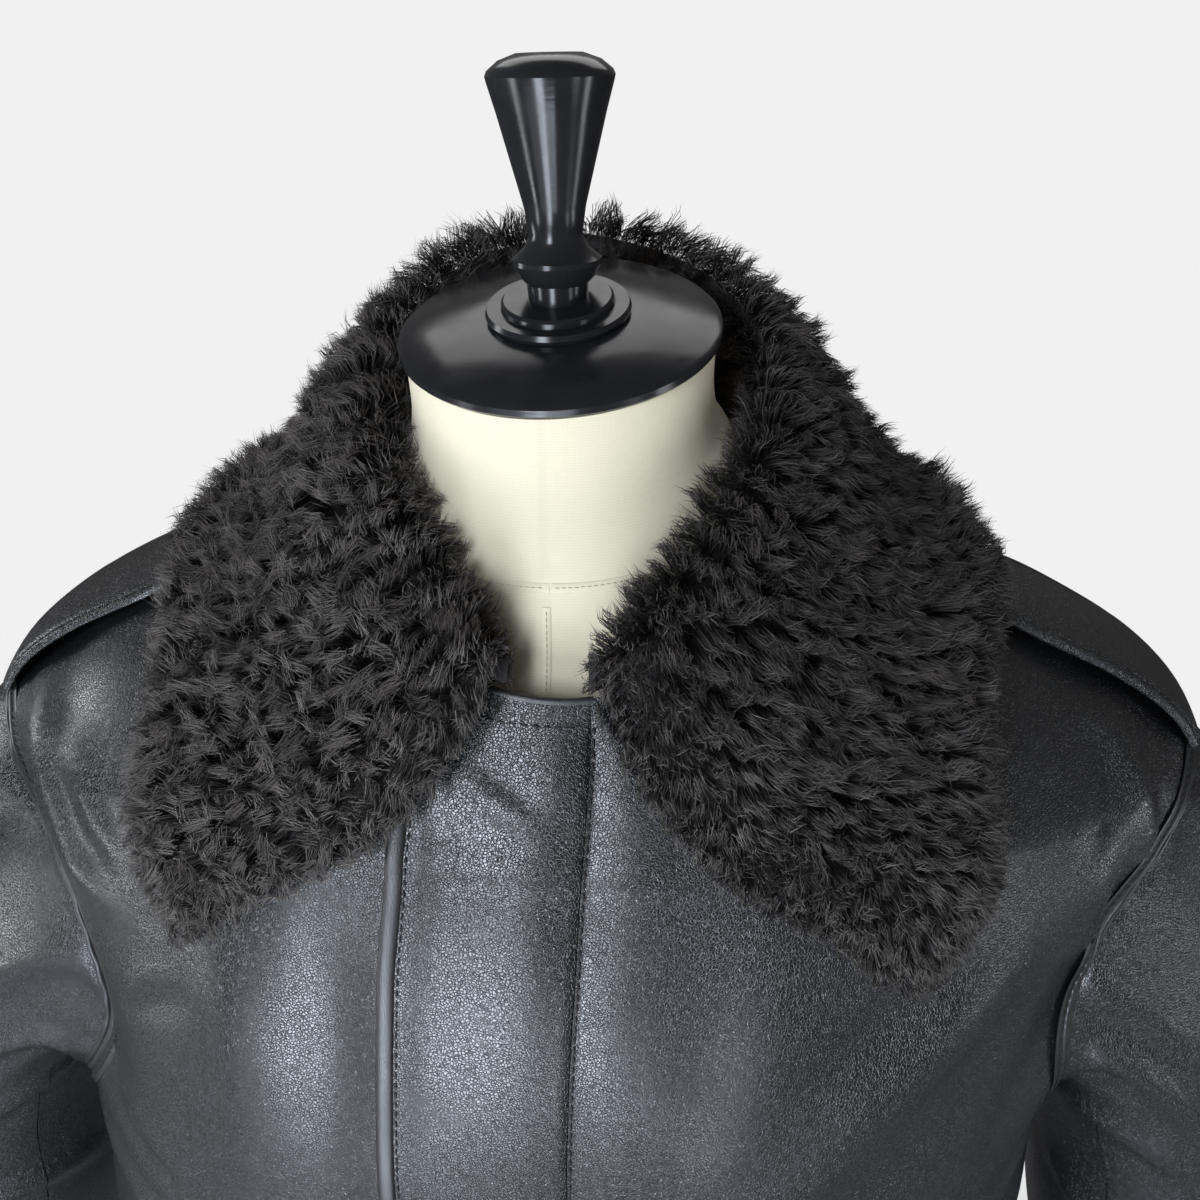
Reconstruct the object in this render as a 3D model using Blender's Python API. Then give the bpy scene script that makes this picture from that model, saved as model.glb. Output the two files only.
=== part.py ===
"""A leather flight jacket with a shearling collar, worn on a limbless dress form.

Metres, +Z up. The jacket's front faces -Y and the wearer's left is +X. The origin is the centre of
the underside of the form's foot. Every panel is a closed wall of leather, worked out from rings
round the body: a place on the body is a turn (degrees from the centre front, + to the wearer's
left) and a level (0 at the waistband seam, 1 at the neckline).
"""

import math
from collections import namedtuple

import bpy
import numpy as np
from mathutils import Euler

# ---------------------------------------------------------------- sizes
LEATHER = 0.0016
SEAM_GAP = 0.0003
RIB_KNIT = 0.0036
PLACKET_THICK = 0.0024
EPAULETTE_THICK = 0.0030
PILE_REACH = 0.0160  # skin and pile of the shearling together
ROLL_RADIUS = 0.0170  # of the pile where the collar folds over

SHOULDER_DROOP = 0.030  # slope of the shoulders down to the wearer's left
RIGHT_ARM_OUT = 0.020  # the right sleeve hangs this much further from the body
UNDERARM_CLEAR = 0.012  # how far the sleeves are pushed off the body under the arms
PLACKET_SEAM_X = 0.0100  # the seam that joins the storm placket to the left front
PLACKET_EDGE_X = -0.0585  # its free edge, on the wearer's right
PLACKET_LEAN = 0.0080  # both slant this far to the wearer's left at the neckline
PLACKET_RAMP = 8.0  # degrees over which the right front sinks under the placket
RIGHT_FRONT_SHARE = 0.85  # how far across the placket the right front reaches under it

WAISTBAND_LEVEL = -0.10
UNDERARM_LEVEL = 0.54
SHOULDER_LEVEL = 0.84
ARMHOLE_FRONT_LEFT = 33.0  # degrees that each armhole cuts into its front
ARMHOLE_FRONT_RIGHT = 40.0
ARMHOLE_BACK = 21.0
ARMHOLE_SHAPE = 0.85  # below 1 the armhole is squarer than an ellipse

SLEEVE_BLEND = 0.30  # share of the sleeve over which the armhole turns into a round ring
FRONT_SEAM = 45.0  # degrees round the sleeve of the seam at the front of the underarm
BACK_SEAM = 315.0
CUFF_ALONG = 0.905  # share of the arm at which the leather ends and the rib cuff starts

NECK_RADIUS = 0.0565
NECK_TILT = math.atan2(0.0132, NECK_RADIUS)  # the neck's top leans forwards
NECK_SIDE_TILT = math.radians(1.2)  # and a little to the wearer's right
NECK_TOP = 0.7995

Ring = namedtuple(
    "Ring", "level front side back half_width front_depth back_depth square aside"
)

# The jacket's body, from the waistband's lower edge to the neckline.
JACKET_RINGS = (
    Ring(-0.10, 0.115, 0.115, 0.115, 0.178, 0.130, 0.126, 2.3, 0.000),
    Ring(0.00, 0.175, 0.175, 0.175, 0.184, 0.136, 0.131, 2.3, 0.000),
    Ring(0.06, 0.206, 0.207, 0.207, 0.205, 0.154, 0.146, 2.4, -0.002),
    Ring(0.20, 0.282, 0.283, 0.283, 0.212, 0.160, 0.146, 2.4, -0.006),
    Ring(0.38, 0.382, 0.382, 0.382, 0.215, 0.162, 0.143, 2.4, -0.010),
    Ring(0.54, 0.484, 0.475, 0.476, 0.219, 0.161, 0.143, 2.4, -0.008),
    Ring(0.66, 0.556, 0.546, 0.551, 0.230, 0.154, 0.142, 2.2, -0.002),
    Ring(0.76, 0.614, 0.605, 0.615, 0.242, 0.141, 0.135, 2.05, 0.003),
    Ring(0.84, 0.655, 0.653, 0.666, 0.249, 0.127, 0.121, 1.9, 0.006),
    Ring(0.90, 0.677, 0.685, 0.706, 0.206, 0.114, 0.108, 1.9, 0.006),
    Ring(0.95, 0.692, 0.715, 0.740, 0.145, 0.103, 0.095, 1.95, 0.005),
    Ring(1.00, 0.702, 0.742, 0.764, 0.078, 0.094, 0.087, 2.0, 0.004),
)

# The dress form, from its flat underside to the top of its neck.
FORM_RINGS = (
    Ring(0.00, 0.0553, 0.0553, 0.0553, 0.150, 0.104, 0.112, 2.2, 0.0),
    Ring(0.10, 0.110, 0.110, 0.110, 0.164, 0.112, 0.118, 2.2, 0.0),
    Ring(0.28, 0.230, 0.230, 0.230, 0.156, 0.108, 0.108, 2.2, 0.0),
    Ring(0.42, 0.325, 0.325, 0.325, 0.152, 0.108, 0.100, 2.3, 0.0),
    Ring(0.58, 0.430, 0.430, 0.435, 0.168, 0.122, 0.112, 2.3, 0.0),
    Ring(0.72, 0.525, 0.520, 0.530, 0.180, 0.127, 0.118, 2.3, 0.0),
    Ring(0.80, 0.592, 0.592, 0.598, 0.188, 0.121, 0.115, 2.15, 0.0),
    Ring(0.85, 0.638, 0.652, 0.654, 0.182, 0.109, 0.106, 1.95, 0.003),
    Ring(0.89, 0.672, 0.7060, 0.700, 0.154, 0.093, 0.090, 1.95, 0.0048),
    Ring(0.92, 0.694, 0.7230, 0.726, 0.114, 0.079, 0.075, 2.0, 0.0038),
    Ring(0.945, 0.717, 0.732, 0.748, 0.070, 0.068, 0.063, 2.0, 0.0),
    Ring(0.97, 0.744, 0.760, 0.779, 0.057, 0.058, 0.057, 2.0, 0.0),
    Ring(1.00, 0.7863, 0.7995, 0.8127, NECK_RADIUS, NECK_RADIUS, NECK_RADIUS, 2.0, 0.0),
)

# The middle of the left sleeve: side and deep are its half sizes across and front to back.
Arm = namedtuple("Arm", "along x y z side deep")
LEFT_ARM = (
    Arm(0.00, 0.234, 0.002, 0.567, 0.092, 0.078),
    Arm(0.12, 0.262, -0.002, 0.520, 0.082, 0.084),
    Arm(0.26, 0.281, -0.008, 0.450, 0.068, 0.083),
    Arm(0.42, 0.292, -0.015, 0.368, 0.062, 0.078),
    Arm(0.56, 0.301, -0.025, 0.298, 0.058, 0.073),
    Arm(0.72, 0.309, -0.040, 0.220, 0.054, 0.065),
    Arm(0.84, 0.316, -0.053, 0.164, 0.052, 0.060),
    Arm(0.88, 0.317, -0.057, 0.146, 0.048, 0.055),
    Arm(0.905, 0.317, -0.060, 0.135, 0.041, 0.046),
    Arm(1.00, 0.319, -0.069, 0.080, 0.036, 0.041),
)

# Large soft folds of the body: a ridge (depth > 0) or trough from one place to another.
Fold = namedtuple("Fold", "turn level end_turn end_level width depth")
BODY_FOLDS = (
    Fold(-80, 0.82, -58, 0.60, 0.017, 0.007),
    Fold(-62, 0.80, -48, 0.62, 0.016, -0.006),
    Fold(80, 0.82, 58, 0.60, 0.018, 0.006),
    Fold(60, 0.80, 47, 0.60, 0.018, -0.005),
    Fold(-72, 0.50, -30, 0.30, 0.030, 0.006),
    Fold(74, 0.50, 34, 0.28, 0.030, 0.005),
    Fold(108, 0.78, 124, 0.52, 0.022, 0.007),
    Fold(-108, 0.78, -126, 0.50, 0.022, 0.006),
    Fold(104, 0.48, 150, 0.22, 0.032, 0.006),
    Fold(-106, 0.46, -148, 0.20, 0.032, 0.005),
)
METRES_PER_DEGREE = 0.0034
METRES_PER_LEVEL = 0.62

# Large folds of a sleeve: round it in degrees, and along it as a share of the arm.
SLEEVE_FOLDS = (
    Fold(95, 0.24, 215, 0.33, 0.020, -0.006),
    Fold(60, 0.46, 170, 0.52, 0.018, -0.007),
    Fold(70, 0.56, 200, 0.60, 0.018, -0.007),
    Fold(80, 0.68, 230, 0.72, 0.018, -0.005),
)
SLEEVE_METRES_PER_DEGREE = 0.0012
SLEEVE_METRES_PER_SHARE = 0.60

# The collar, from the centre back to a front end. turn: where it is sewn on the neckline; top and
# out: how high its pile stands over the neckline and how far outside it the middle of the roll
# lies; mid and edge: the places on the body over which the middle of its fall and its outer edge
# lie, and how high the skin is there.
Leaf = namedtuple(
    "Leaf", "share turn top out mid_turn mid_level mid_lift edge_turn edge_level lift"
)
LEFT_LEAF = (
    Leaf(0.00, 180.0, 0.074, 0.006, 180.0, 0.930, 0.008, 180.0, 0.880, 0.004),
    Leaf(0.20, 140.0, 0.065, 0.006, 139.0, 0.935, 0.006, 138.0, 0.892, 0.005),
    Leaf(0.40, 105.0, 0.050, 0.003, 107.0, 0.955, 0.004, 110.0, 0.940, 0.009),
    Leaf(0.55, 80.0, 0.044, -0.001, 82.0, 0.957, 0.005, 84.0, 0.942, 0.010),
    Leaf(0.70, 55.0, 0.042, -0.003, 57.0, 0.950, 0.004, 60.0, 0.930, 0.006),
    Leaf(0.82, 35.0, 0.038, -0.003, 39.0, 0.928, 0.004, 47.0, 0.903, 0.003),
    Leaf(0.92, 20.0, 0.033, -0.001, 25.0, 0.890, 0.004, 38.0, 0.858, 0.003),
    Leaf(1.00, 8.5, 0.026, 0.000, 12.5, 0.858, 0.003, 31.0, 0.756, 0.003),
)
RIGHT_LEAF = (
    Leaf(0.00, -180.0, 0.074, 0.006, -180.0, 0.930, 0.008, -180.0, 0.880, 0.004),
    Leaf(0.20, -140.0, 0.068, 0.005, -139.0, 0.935, 0.006, -138.0, 0.892, 0.005),
    Leaf(0.40, -105.0, 0.052, 0.004, -106.0, 0.956, 0.004, -108.0, 0.943, 0.009),
    Leaf(0.55, -80.0, 0.044, 0.003, -81.0, 0.961, 0.005, -83.0, 0.944, 0.010),
    Leaf(0.70, -55.0, 0.041, 0.002, -58.0, 0.955, 0.004, -63.0, 0.931, 0.006),
    Leaf(0.82, -35.0, 0.037, -0.001, -38.0, 0.935, 0.004, -47.5, 0.899, 0.003),
    Leaf(0.92, -22.0, 0.031, -0.002, -27.0, 0.893, 0.004, -39.0, 0.848, 0.003),
    Leaf(1.00, -12.5, 0.026, 0.000, -15.0, 0.862, 0.003, -32.5, 0.762, 0.003),
)

# An epaulette, from the armhole to its free end under the collar: half is half its width.
Strap = namedtuple("Strap", "share level half lift")
EPAULETTE = (
    Strap(0.00, 0.843, 0.0270, 0.0008),
    Strap(0.25, 0.866, 0.0265, 0.0040),
    Strap(0.55, 0.896, 0.0250, 0.0048),
    Strap(0.85, 0.930, 0.0220, 0.0030),
    Strap(0.93, 0.939, 0.0190, 0.0024),
    Strap(1.00, 0.948, 0.0060, 0.0020),
)

# Turned pieces of the form: half their width at each height over their own seat.
Turned = namedtuple("Turned", "height radius")
NECK_CAP = (
    Turned(0.0000, 0.0000),
    Turned(0.0000, 0.0580),
    Turned(0.0012, 0.0590),
    Turned(0.0034, 0.0588),
    Turned(0.0048, 0.0568),
    Turned(0.0088, 0.0275),
    Turned(0.0088, 0.0000),
)
CAP_RINGS = (
    Turned(0.0000, 0.0150),
    Turned(0.0000, 0.0258),
    Turned(0.0016, 0.0264),
    Turned(0.0034, 0.0256),
    Turned(0.0034, 0.0207),
    Turned(0.0052, 0.0203),
    Turned(0.0062, 0.0193),
    Turned(0.0062, 0.0150),
)
FINIAL = (
    Turned(0.0000, 0.0000),
    Turned(0.0000, 0.0105),
    Turned(0.0080, 0.0110),
    Turned(0.0110, 0.0140),
    Turned(0.0150, 0.0160),
    Turned(0.0166, 0.0158),
    Turned(0.0205, 0.0112),
    Turned(0.0250, 0.0094),
    Turned(0.0340, 0.0108),
    Turned(0.0640, 0.0186),
    Turned(0.0730, 0.0212),
    Turned(0.0748, 0.0216),
    Turned(0.0764, 0.0209),
    Turned(0.0794, 0.0170),
    Turned(0.0814, 0.0112),
    Turned(0.0822, 0.0000),
)
FOOT = (
    Turned(0.0000, 0.0000),
    Turned(0.0000, 0.1480),
    Turned(0.0030, 0.1500),
    Turned(0.0140, 0.1500),
    Turned(0.0200, 0.1440),
    Turned(0.0240, 0.0700),
    Turned(0.0300, 0.0560),
    Turned(0.0550, 0.0540),
    Turned(0.0550, 0.0000),
)

COLOURS = {
    "leather": (0.020, 0.021, 0.024, 0.42, 0.0),
    "shearling": (0.030, 0.024, 0.022, 0.90, 0.0),
    "rib_knit": (0.016, 0.015, 0.016, 0.92, 0.0),
    "canvas": (0.760, 0.700, 0.520, 0.85, 0.0),
    "black_wood": (0.012, 0.012, 0.013, 0.25, 0.0),
}


# ---------------------------------------------------------------- reading the tables
def read_rows(rows, place):
    """Every column of rows after the first, read smoothly at places along the first."""
    table = np.array(rows, float)
    knots = table[:, 0]
    slopes = np.gradient(table, knots, axis=0)
    place = np.clip(np.asarray(place, float), knots[0], knots[-1])
    i = np.clip(np.searchsorted(knots, place, side="right") - 1, 0, len(knots) - 2)
    gap = (knots[i + 1] - knots[i])[..., None]
    s = ((place - knots[i]) / (knots[i + 1] - knots[i]))[..., None]
    value = (
        (1 + 2 * s) * (1 - s) ** 2 * table[i]
        + s * (1 - s) ** 2 * gap * slopes[i]
        + s**2 * (3 - 2 * s) * table[i + 1]
        + s**2 * (s - 1) * gap * slopes[i + 1]
    )
    return [value[..., k] for k in range(1, table.shape[1])]


def smooth_step(x):
    x = np.clip(x, 0.0, 1.0)
    return x * x * (3 - 2 * x)


def unit(vectors):
    return vectors / np.maximum(np.linalg.norm(vectors, axis=-1, keepdims=True), 1e-12)


def ring_point(rows, turn, level):
    """The place on a stack of rings at a turn and a level."""
    row = read_rows(rows, level)
    front, side, back, half_width, front_depth, back_depth, square, aside = row
    angle = np.radians(turn)
    sine, cosine = np.sin(angle), np.cos(angle)
    reach = (np.abs(sine) ** square + np.abs(cosine) ** square) ** (-1 / square)
    depth = np.where(cosine > 0, front_depth, back_depth)
    middle = (front + back) / 2
    height = middle - (back - front) / 2 * cosine + (side - middle) * sine**2
    return np.stack(
        [aside + half_width * reach * sine, -depth * reach * cosine, height + 0 * reach], axis=-1
    )


def fold_height(folds, across, along, metres_across, metres_along):
    """How far the folds raise the cloth at a place."""
    height = np.zeros(np.broadcast(across, along).shape)
    for fold in folds:
        start = np.array([fold.turn * metres_across, fold.level * metres_along])
        run = np.array([fold.end_turn * metres_across, fold.end_level * metres_along]) - start
        dx = across * metres_across - start[0]
        dy = along * metres_along - start[1]
        share = np.clip((dx * run[0] + dy * run[1]) / (run @ run), 0, 1)
        away = np.hypot(dx - share * run[0], dy - share * run[1])
        taper = 0.35 + 0.65 * np.sin(math.pi * share)
        height = height + fold.depth * taper * np.exp(-((away / fold.width) ** 2))
    return height


# ---------------------------------------------------------------- the jacket's surfaces
def body_point(turn, level, lift=0.0):
    """The jacket's outer surface, or a place lift metres over it, and the surface's normal."""
    turn, level = np.broadcast_arrays(np.asarray(turn, float), np.asarray(level, float))
    step_turn, step_level = 0.4, 0.002
    across = ring_point(JACKET_RINGS, turn + step_turn, level) - ring_point(
        JACKET_RINGS, turn - step_turn, level
    )
    along = ring_point(JACKET_RINGS, turn, level + step_level) - ring_point(
        JACKET_RINGS, turn, level - step_level
    )
    normal = unit(np.cross(across, along))
    wrapped = (turn + 180.0) % 360.0 - 180.0
    height = lift + fold_height(
        BODY_FOLDS, wrapped, level, METRES_PER_DEGREE, METRES_PER_LEVEL
    )
    droop = SHOULDER_DROOP * smooth_step((level - 0.60) / 0.26)
    place = ring_point(JACKET_RINGS, turn, level) + height[..., None] * normal
    place[..., 2] -= droop * (place[..., 0] + 0.10)
    return place, normal


def turn_at_x(x, level):
    """The turn near the centre front of a line down the jacket that leans like the placket."""
    level = np.asarray(level, float)
    x = x + PLACKET_LEAN * smooth_step((level - 0.60) / 0.35)
    row = read_rows(JACKET_RINGS, level)
    half_width, square, aside = row[3], row[6], row[7]
    angle = np.zeros_like(level)
    for _ in range(12):
        reach = (np.abs(np.sin(angle)) ** square + np.cos(angle) ** square) ** (-1 / square)
        angle = np.arcsin(np.clip((x - aside) / (half_width * reach), -0.9, 0.9))
    return np.degrees(angle)


def placket_tuck(turn, level):
    """How far the right front and the waistband sink to pass under the placket."""
    edge = turn_at_x(PLACKET_EDGE_X, level)
    seam = turn_at_x(PLACKET_SEAM_X, level)
    wrapped = (turn + 180.0) % 360.0 - 180.0
    under = smooth_step((wrapped - edge + PLACKET_RAMP + 1.0) / PLACKET_RAMP)
    return -(PLACKET_THICK + 4 * SEAM_GAP) * np.where(wrapped > seam, 0.0, under)


def armhole(phi, side=1):
    """Turn and level of the armhole: phi 0 underarm, 90 front, 180 shoulder, 270 back."""
    angle = np.radians(phi)
    level = UNDERARM_LEVEL + (SHOULDER_LEVEL - UNDERARM_LEVEL) * (1 - np.cos(angle)) / 2
    cut = np.abs(np.sin(angle)) ** ARMHOLE_SHAPE
    front = ARMHOLE_FRONT_LEFT if side > 0 else ARMHOLE_FRONT_RIGHT
    turn = 90.0 - np.where(np.sin(angle) > 0, front, -ARMHOLE_BACK) * cut
    return side * turn, level


def panel_rows(cut):
    """Levels of a body panel's rows, with the turn of its side seam, armhole and shoulder seam.
    cut: how far the armhole cuts into the panel, + for a front."""
    below = [(level, 90.0) for level in np.linspace(0.0, UNDERARM_LEVEL, 7)[:-1]]
    phis = np.radians(np.arange(0, 181, 15))
    span = SHOULDER_LEVEL - UNDERARM_LEVEL
    beside = [
        (UNDERARM_LEVEL + span * (1 - math.cos(p)) / 2, 90.0 - cut * math.sin(p) ** ARMHOLE_SHAPE)
        for p in phis
    ]
    above = [(level, 90.0) for level in np.linspace(SHOULDER_LEVEL, 1.0, 7)[1:]]
    return np.array(below + beside + above)


def mirrored(points):
    """A grid of the right sleeve, turned back over to its own side."""
    return (points[:, ::-1] + np.array([RIGHT_ARM_OUT, 0.0, 0.0])) * np.array([-1.0, 1.0, 1.0])


def armhole_edge(phi, side):
    """Places on the armhole and the body's normals there, turned over to the wearer's left."""
    edge, normal = body_point(*armhole(phi, side))
    if side > 0:
        return edge, normal
    flip = np.array([-1.0, 1.0, 1.0])
    return edge * flip - np.array([RIGHT_ARM_OUT, 0.0, 0.0]), normal * flip


def sleeve_frame(along):
    """Centre, outward and forward directions and half sizes of the left sleeve's ring."""
    x, y, z, side, deep = read_rows(LEFT_ARM, along)
    centre = np.stack([x, y, z], -1)
    ahead = np.stack(read_rows(LEFT_ARM, np.asarray(along) + 0.01)[:3], -1)
    behind = np.stack(read_rows(LEFT_ARM, np.asarray(along) - 0.01)[:3], -1)
    run = unit(ahead - behind)
    forward = np.array([0.0, -1.0, 0.0]) - (run @ np.array([0.0, -1.0, 0.0]))[..., None] * run
    forward = unit(forward)
    outward = unit(np.cross(forward, run))
    return centre, outward, forward, side, deep


def sleeve_round(phi, along):
    """The left sleeve's surface as round rings, before it meets the armhole."""
    centre, outward, forward, side, deep = sleeve_frame(along)
    angle = np.radians(phi)
    offset = (-side * np.cos(angle))[..., None] * outward
    return centre + offset + (deep * np.sin(angle))[..., None] * forward


def sleeve_point(phi, along, side):
    """A sleeve's outer surface before its folds, as on the wearer's left. phi as in armhole()."""
    phi, along = np.broadcast_arrays(np.asarray(phi, float), np.asarray(along, float))
    edge, normal = armhole_edge(phi, side)
    middle = np.array([LEFT_ARM[0].x, LEFT_ARM[0].y, LEFT_ARM[0].z])
    inwards = middle - edge
    inwards = unit(inwards - (inwards * normal).sum(-1, keepdims=True) * normal)
    edge = edge + SEAM_GAP * (inwards + normal)
    share = smooth_step(along / SLEEVE_BLEND)[..., None]
    place = edge * (1 - share) + sleeve_round(phi, along) * share
    clear = np.maximum(np.cos(np.radians(phi)), 0) * smooth_step(along / 0.05)
    place[..., 0] += UNDERARM_CLEAR * clear * (1 - smooth_step((along - 0.1) / 0.3))
    return place


def grid_normals(points, closed=False):
    """Unit normals of a grid of points, rows by columns."""
    rows = np.gradient(points, axis=0)
    if closed:
        columns = np.roll(points, -1, axis=1) - np.roll(points, 1, axis=1)
    else:
        columns = np.gradient(points, axis=1)
    return unit(np.cross(columns, rows))


# ---------------------------------------------------------------- meshes
def material(name):
    made = bpy.data.materials.get(name) or bpy.data.materials.new(name)
    made.use_nodes = True
    red, green, blue, roughness, metallic = COLOURS[name]
    shader = made.node_tree.nodes["Principled BSDF"]
    shader.inputs["Base Color"].default_value = (red, green, blue, 1.0)
    shader.inputs["Roughness"].default_value = roughness
    shader.inputs["Metallic"].default_value = metallic
    return made


def add_object(name, points, faces, finish):
    mesh = bpy.data.meshes.new(name)
    mesh.from_pydata([tuple(p) for p in points], [], faces)
    mesh.update()
    mesh.materials.append(material(finish))
    made = bpy.data.objects.new(name, mesh)
    bpy.context.scene.collection.objects.link(made)
    return made


def wall(name, outer, inner, finish, closed=False):
    """One closed body between two grids of points, outer and inner, rows by columns."""
    rows, columns = outer.shape[:2]
    count = rows * columns
    points = np.concatenate([outer.reshape(-1, 3), inner.reshape(-1, 3)])
    steps = columns if closed else columns - 1

    def at(row, column):
        return row * columns + column % columns

    faces = []
    for r in range(rows - 1):
        for c in range(steps):
            quad = [at(r, c), at(r, c + 1), at(r + 1, c + 1), at(r + 1, c)]
            faces.append(quad)
            faces.append([i + count for i in reversed(quad)])
    for c in range(steps):
        low = [at(0, c), at(0, c + 1)]
        high = [at(rows - 1, c + 1), at(rows - 1, c)]
        faces.append([low[1], low[0], low[0] + count, low[1] + count])
        faces.append([high[1], high[0], high[0] + count, high[1] + count])
    for r in range(rows - 1 if not closed else 0):
        left = [at(r, 0), at(r + 1, 0)]
        right = [at(r + 1, columns - 1), at(r, columns - 1)]
        faces.append([left[0], left[1], left[1] + count, left[0] + count])
        faces.append([right[0], right[1], right[1] + count, right[0] + count])
    made = add_object(name, points, faces, finish)
    made.data.shade_smooth()
    made.data.set_sharp_from_angle(angle=math.radians(50))
    return made


def body_panel(name, levels, turns, finish, thick, tuck=None):
    """A wall on the jacket's body: turns holds a row of turns for each level."""
    levels = np.repeat(np.asarray(levels)[:, None], turns.shape[1], axis=1)
    lift = tuck(turns, levels) if tuck else np.zeros_like(turns)
    outer, normal = body_point(turns, levels, lift)
    return wall(name, outer, outer - thick * normal, finish)


def columns_under_placket(levels):
    """Turns of the columns of the placket, from its free edge to its seam, a row a level."""
    edge = turn_at_x(PLACKET_EDGE_X, levels)
    seam = turn_at_x(PLACKET_SEAM_X - SEAM_GAP / 2, levels)
    return edge[:, None] + (seam - edge)[:, None] * np.linspace(0, 1, 5)


def under_placket(levels, starts, columns):
    """Turns from starts to the placket, over the ramp and on under the placket."""
    placket = columns_under_placket(levels)
    edge = placket[:, 0]
    before = fan(starts, edge - PLACKET_RAMP - 1.0, columns)
    ramp = (edge - 1.0 - PLACKET_RAMP / 2)[:, None]
    end = edge + (placket[:, -1] - edge) * RIGHT_FRONT_SHARE
    inside = [before, ramp, (edge - 1.0)[:, None], placket[:, :-1], end[:, None]]
    return np.concatenate(inside, axis=1)


def fan(starts, ends, columns):
    """Turns from starts to ends, one row for each pair."""
    share = np.linspace(0, 1, columns)
    return np.asarray(starts)[:, None] * (1 - share) + np.asarray(ends)[:, None] * share


def seam_allowance(level):
    """The turn that half the gap of a seam takes up at the side of the body."""
    return np.degrees(0.5 * SEAM_GAP / read_rows(JACKET_RINGS, level)[4])


def make_fronts():
    rows = panel_rows(ARMHOLE_FRONT_LEFT)
    levels, outer_turn = rows[:, 0].copy(), rows[:, 1] - seam_allowance(rows[:, 0])
    levels[0] += 2 * SEAM_GAP / METRES_PER_LEVEL
    left_in = turn_at_x(PLACKET_SEAM_X + SEAM_GAP / 2, levels)
    body_panel("front_left", levels, fan(left_in, outer_turn, 11), "leather", LEATHER)
    outer_turn = panel_rows(ARMHOLE_FRONT_RIGHT)[:, 1] - seam_allowance(levels)
    turns = under_placket(levels, -outer_turn, 7)
    body_panel("front_right", levels, turns, "leather", LEATHER, placket_tuck)


def make_back():
    rows = panel_rows(-ARMHOLE_BACK)
    levels, turn = rows[:, 0].copy(), rows[:, 1] + seam_allowance(rows[:, 0])
    levels[0] += 2 * SEAM_GAP / METRES_PER_LEVEL
    body_panel("back", levels, fan(turn, 360.0 - turn, 15), "leather", LEATHER)


def make_placket():
    levels = np.concatenate([[WAISTBAND_LEVEL, WAISTBAND_LEVEL / 2], panel_rows(0.0)[:, 0]])
    body_panel("placket", levels, columns_under_placket(levels), "leather", PLACKET_THICK)


def make_waistband():
    levels = np.array([WAISTBAND_LEVEL, WAISTBAND_LEVEL / 2, 0.0])
    start = turn_at_x(PLACKET_SEAM_X + SEAM_GAP, levels) - 360.0
    turns = under_placket(levels, start, 25)
    body_panel("waistband", levels, turns, "rib_knit", RIB_KNIT, placket_tuck)


def sleeve_wall(name, phis, alongs, finish, thick, side, closed=False):
    """A piece of a sleeve. Its first ring, if it is at the armhole, keeps the body's normals."""
    phi, along = np.meshgrid(phis, alongs)
    outer = sleeve_point(phi, along, side)
    whole_phi, whole_along = np.meshgrid(np.arange(0, 360, 5.0), alongs)
    whole = sleeve_point(whole_phi, whole_along, side)
    ring = grid_normals(whole, closed=True)
    middle = whole.mean(axis=1, keepdims=True)
    if (ring * (whole - middle)).sum() < 0:
        ring = -ring
    normal = np.empty_like(outer)
    for r in range(len(alongs)):
        for k in range(3):
            normal[r, :, k] = np.interp(
                phis % 360.0, np.arange(0, 365, 5.0), np.append(ring[r, :, k], ring[r, 0, k])
            )
    normal = unit(normal)
    height = fold_height(
        SLEEVE_FOLDS, phi % 360.0, along, SLEEVE_METRES_PER_DEGREE, SLEEVE_METRES_PER_SHARE
    )
    outer = outer + height[..., None] * normal
    if alongs[0] == 0:
        outer[0] = sleeve_point(phis, 0.0, side)
        normal[0] = armhole_edge(phis, side)[1]
    inner = outer - thick * normal
    if side < 0:
        outer, inner = mirrored(outer), mirrored(inner)
    return wall(name, outer[:, ::-1], inner[:, ::-1], finish, closed)


def make_sleeve(side, name):
    alongs = np.array(
        [0, 0.035, 0.08, 0.13, 0.19, 0.26, 0.33, 0.41, 0.49, 0.57, 0.65, 0.74, 0.83, 0.88]
        + [CUFF_ALONG]
    )
    gap = math.degrees(0.5 * SEAM_GAP / 0.045)
    top = np.arange(FRONT_SEAM, BACK_SEAM + 1, 15.0)
    top[0], top[-1] = FRONT_SEAM + gap, BACK_SEAM - gap
    under = np.arange(BACK_SEAM, 361.0 + FRONT_SEAM, 15.0)
    under[0], under[-1] = BACK_SEAM + gap, 360.0 + FRONT_SEAM - gap
    sleeve_wall(f"sleeve_{name}_top", top, alongs, "leather", LEATHER, side)
    sleeve_wall(f"sleeve_{name}_under", under, alongs, "leather", LEATHER, side)
    cuff = np.array([CUFF_ALONG + SEAM_GAP / SLEEVE_METRES_PER_SHARE, 0.955, 1.0])
    around = np.arange(0, 360, 22.5)
    sleeve_wall(f"cuff_{name}", around, cuff, "rib_knit", RIB_KNIT, side, closed=True)


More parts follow.
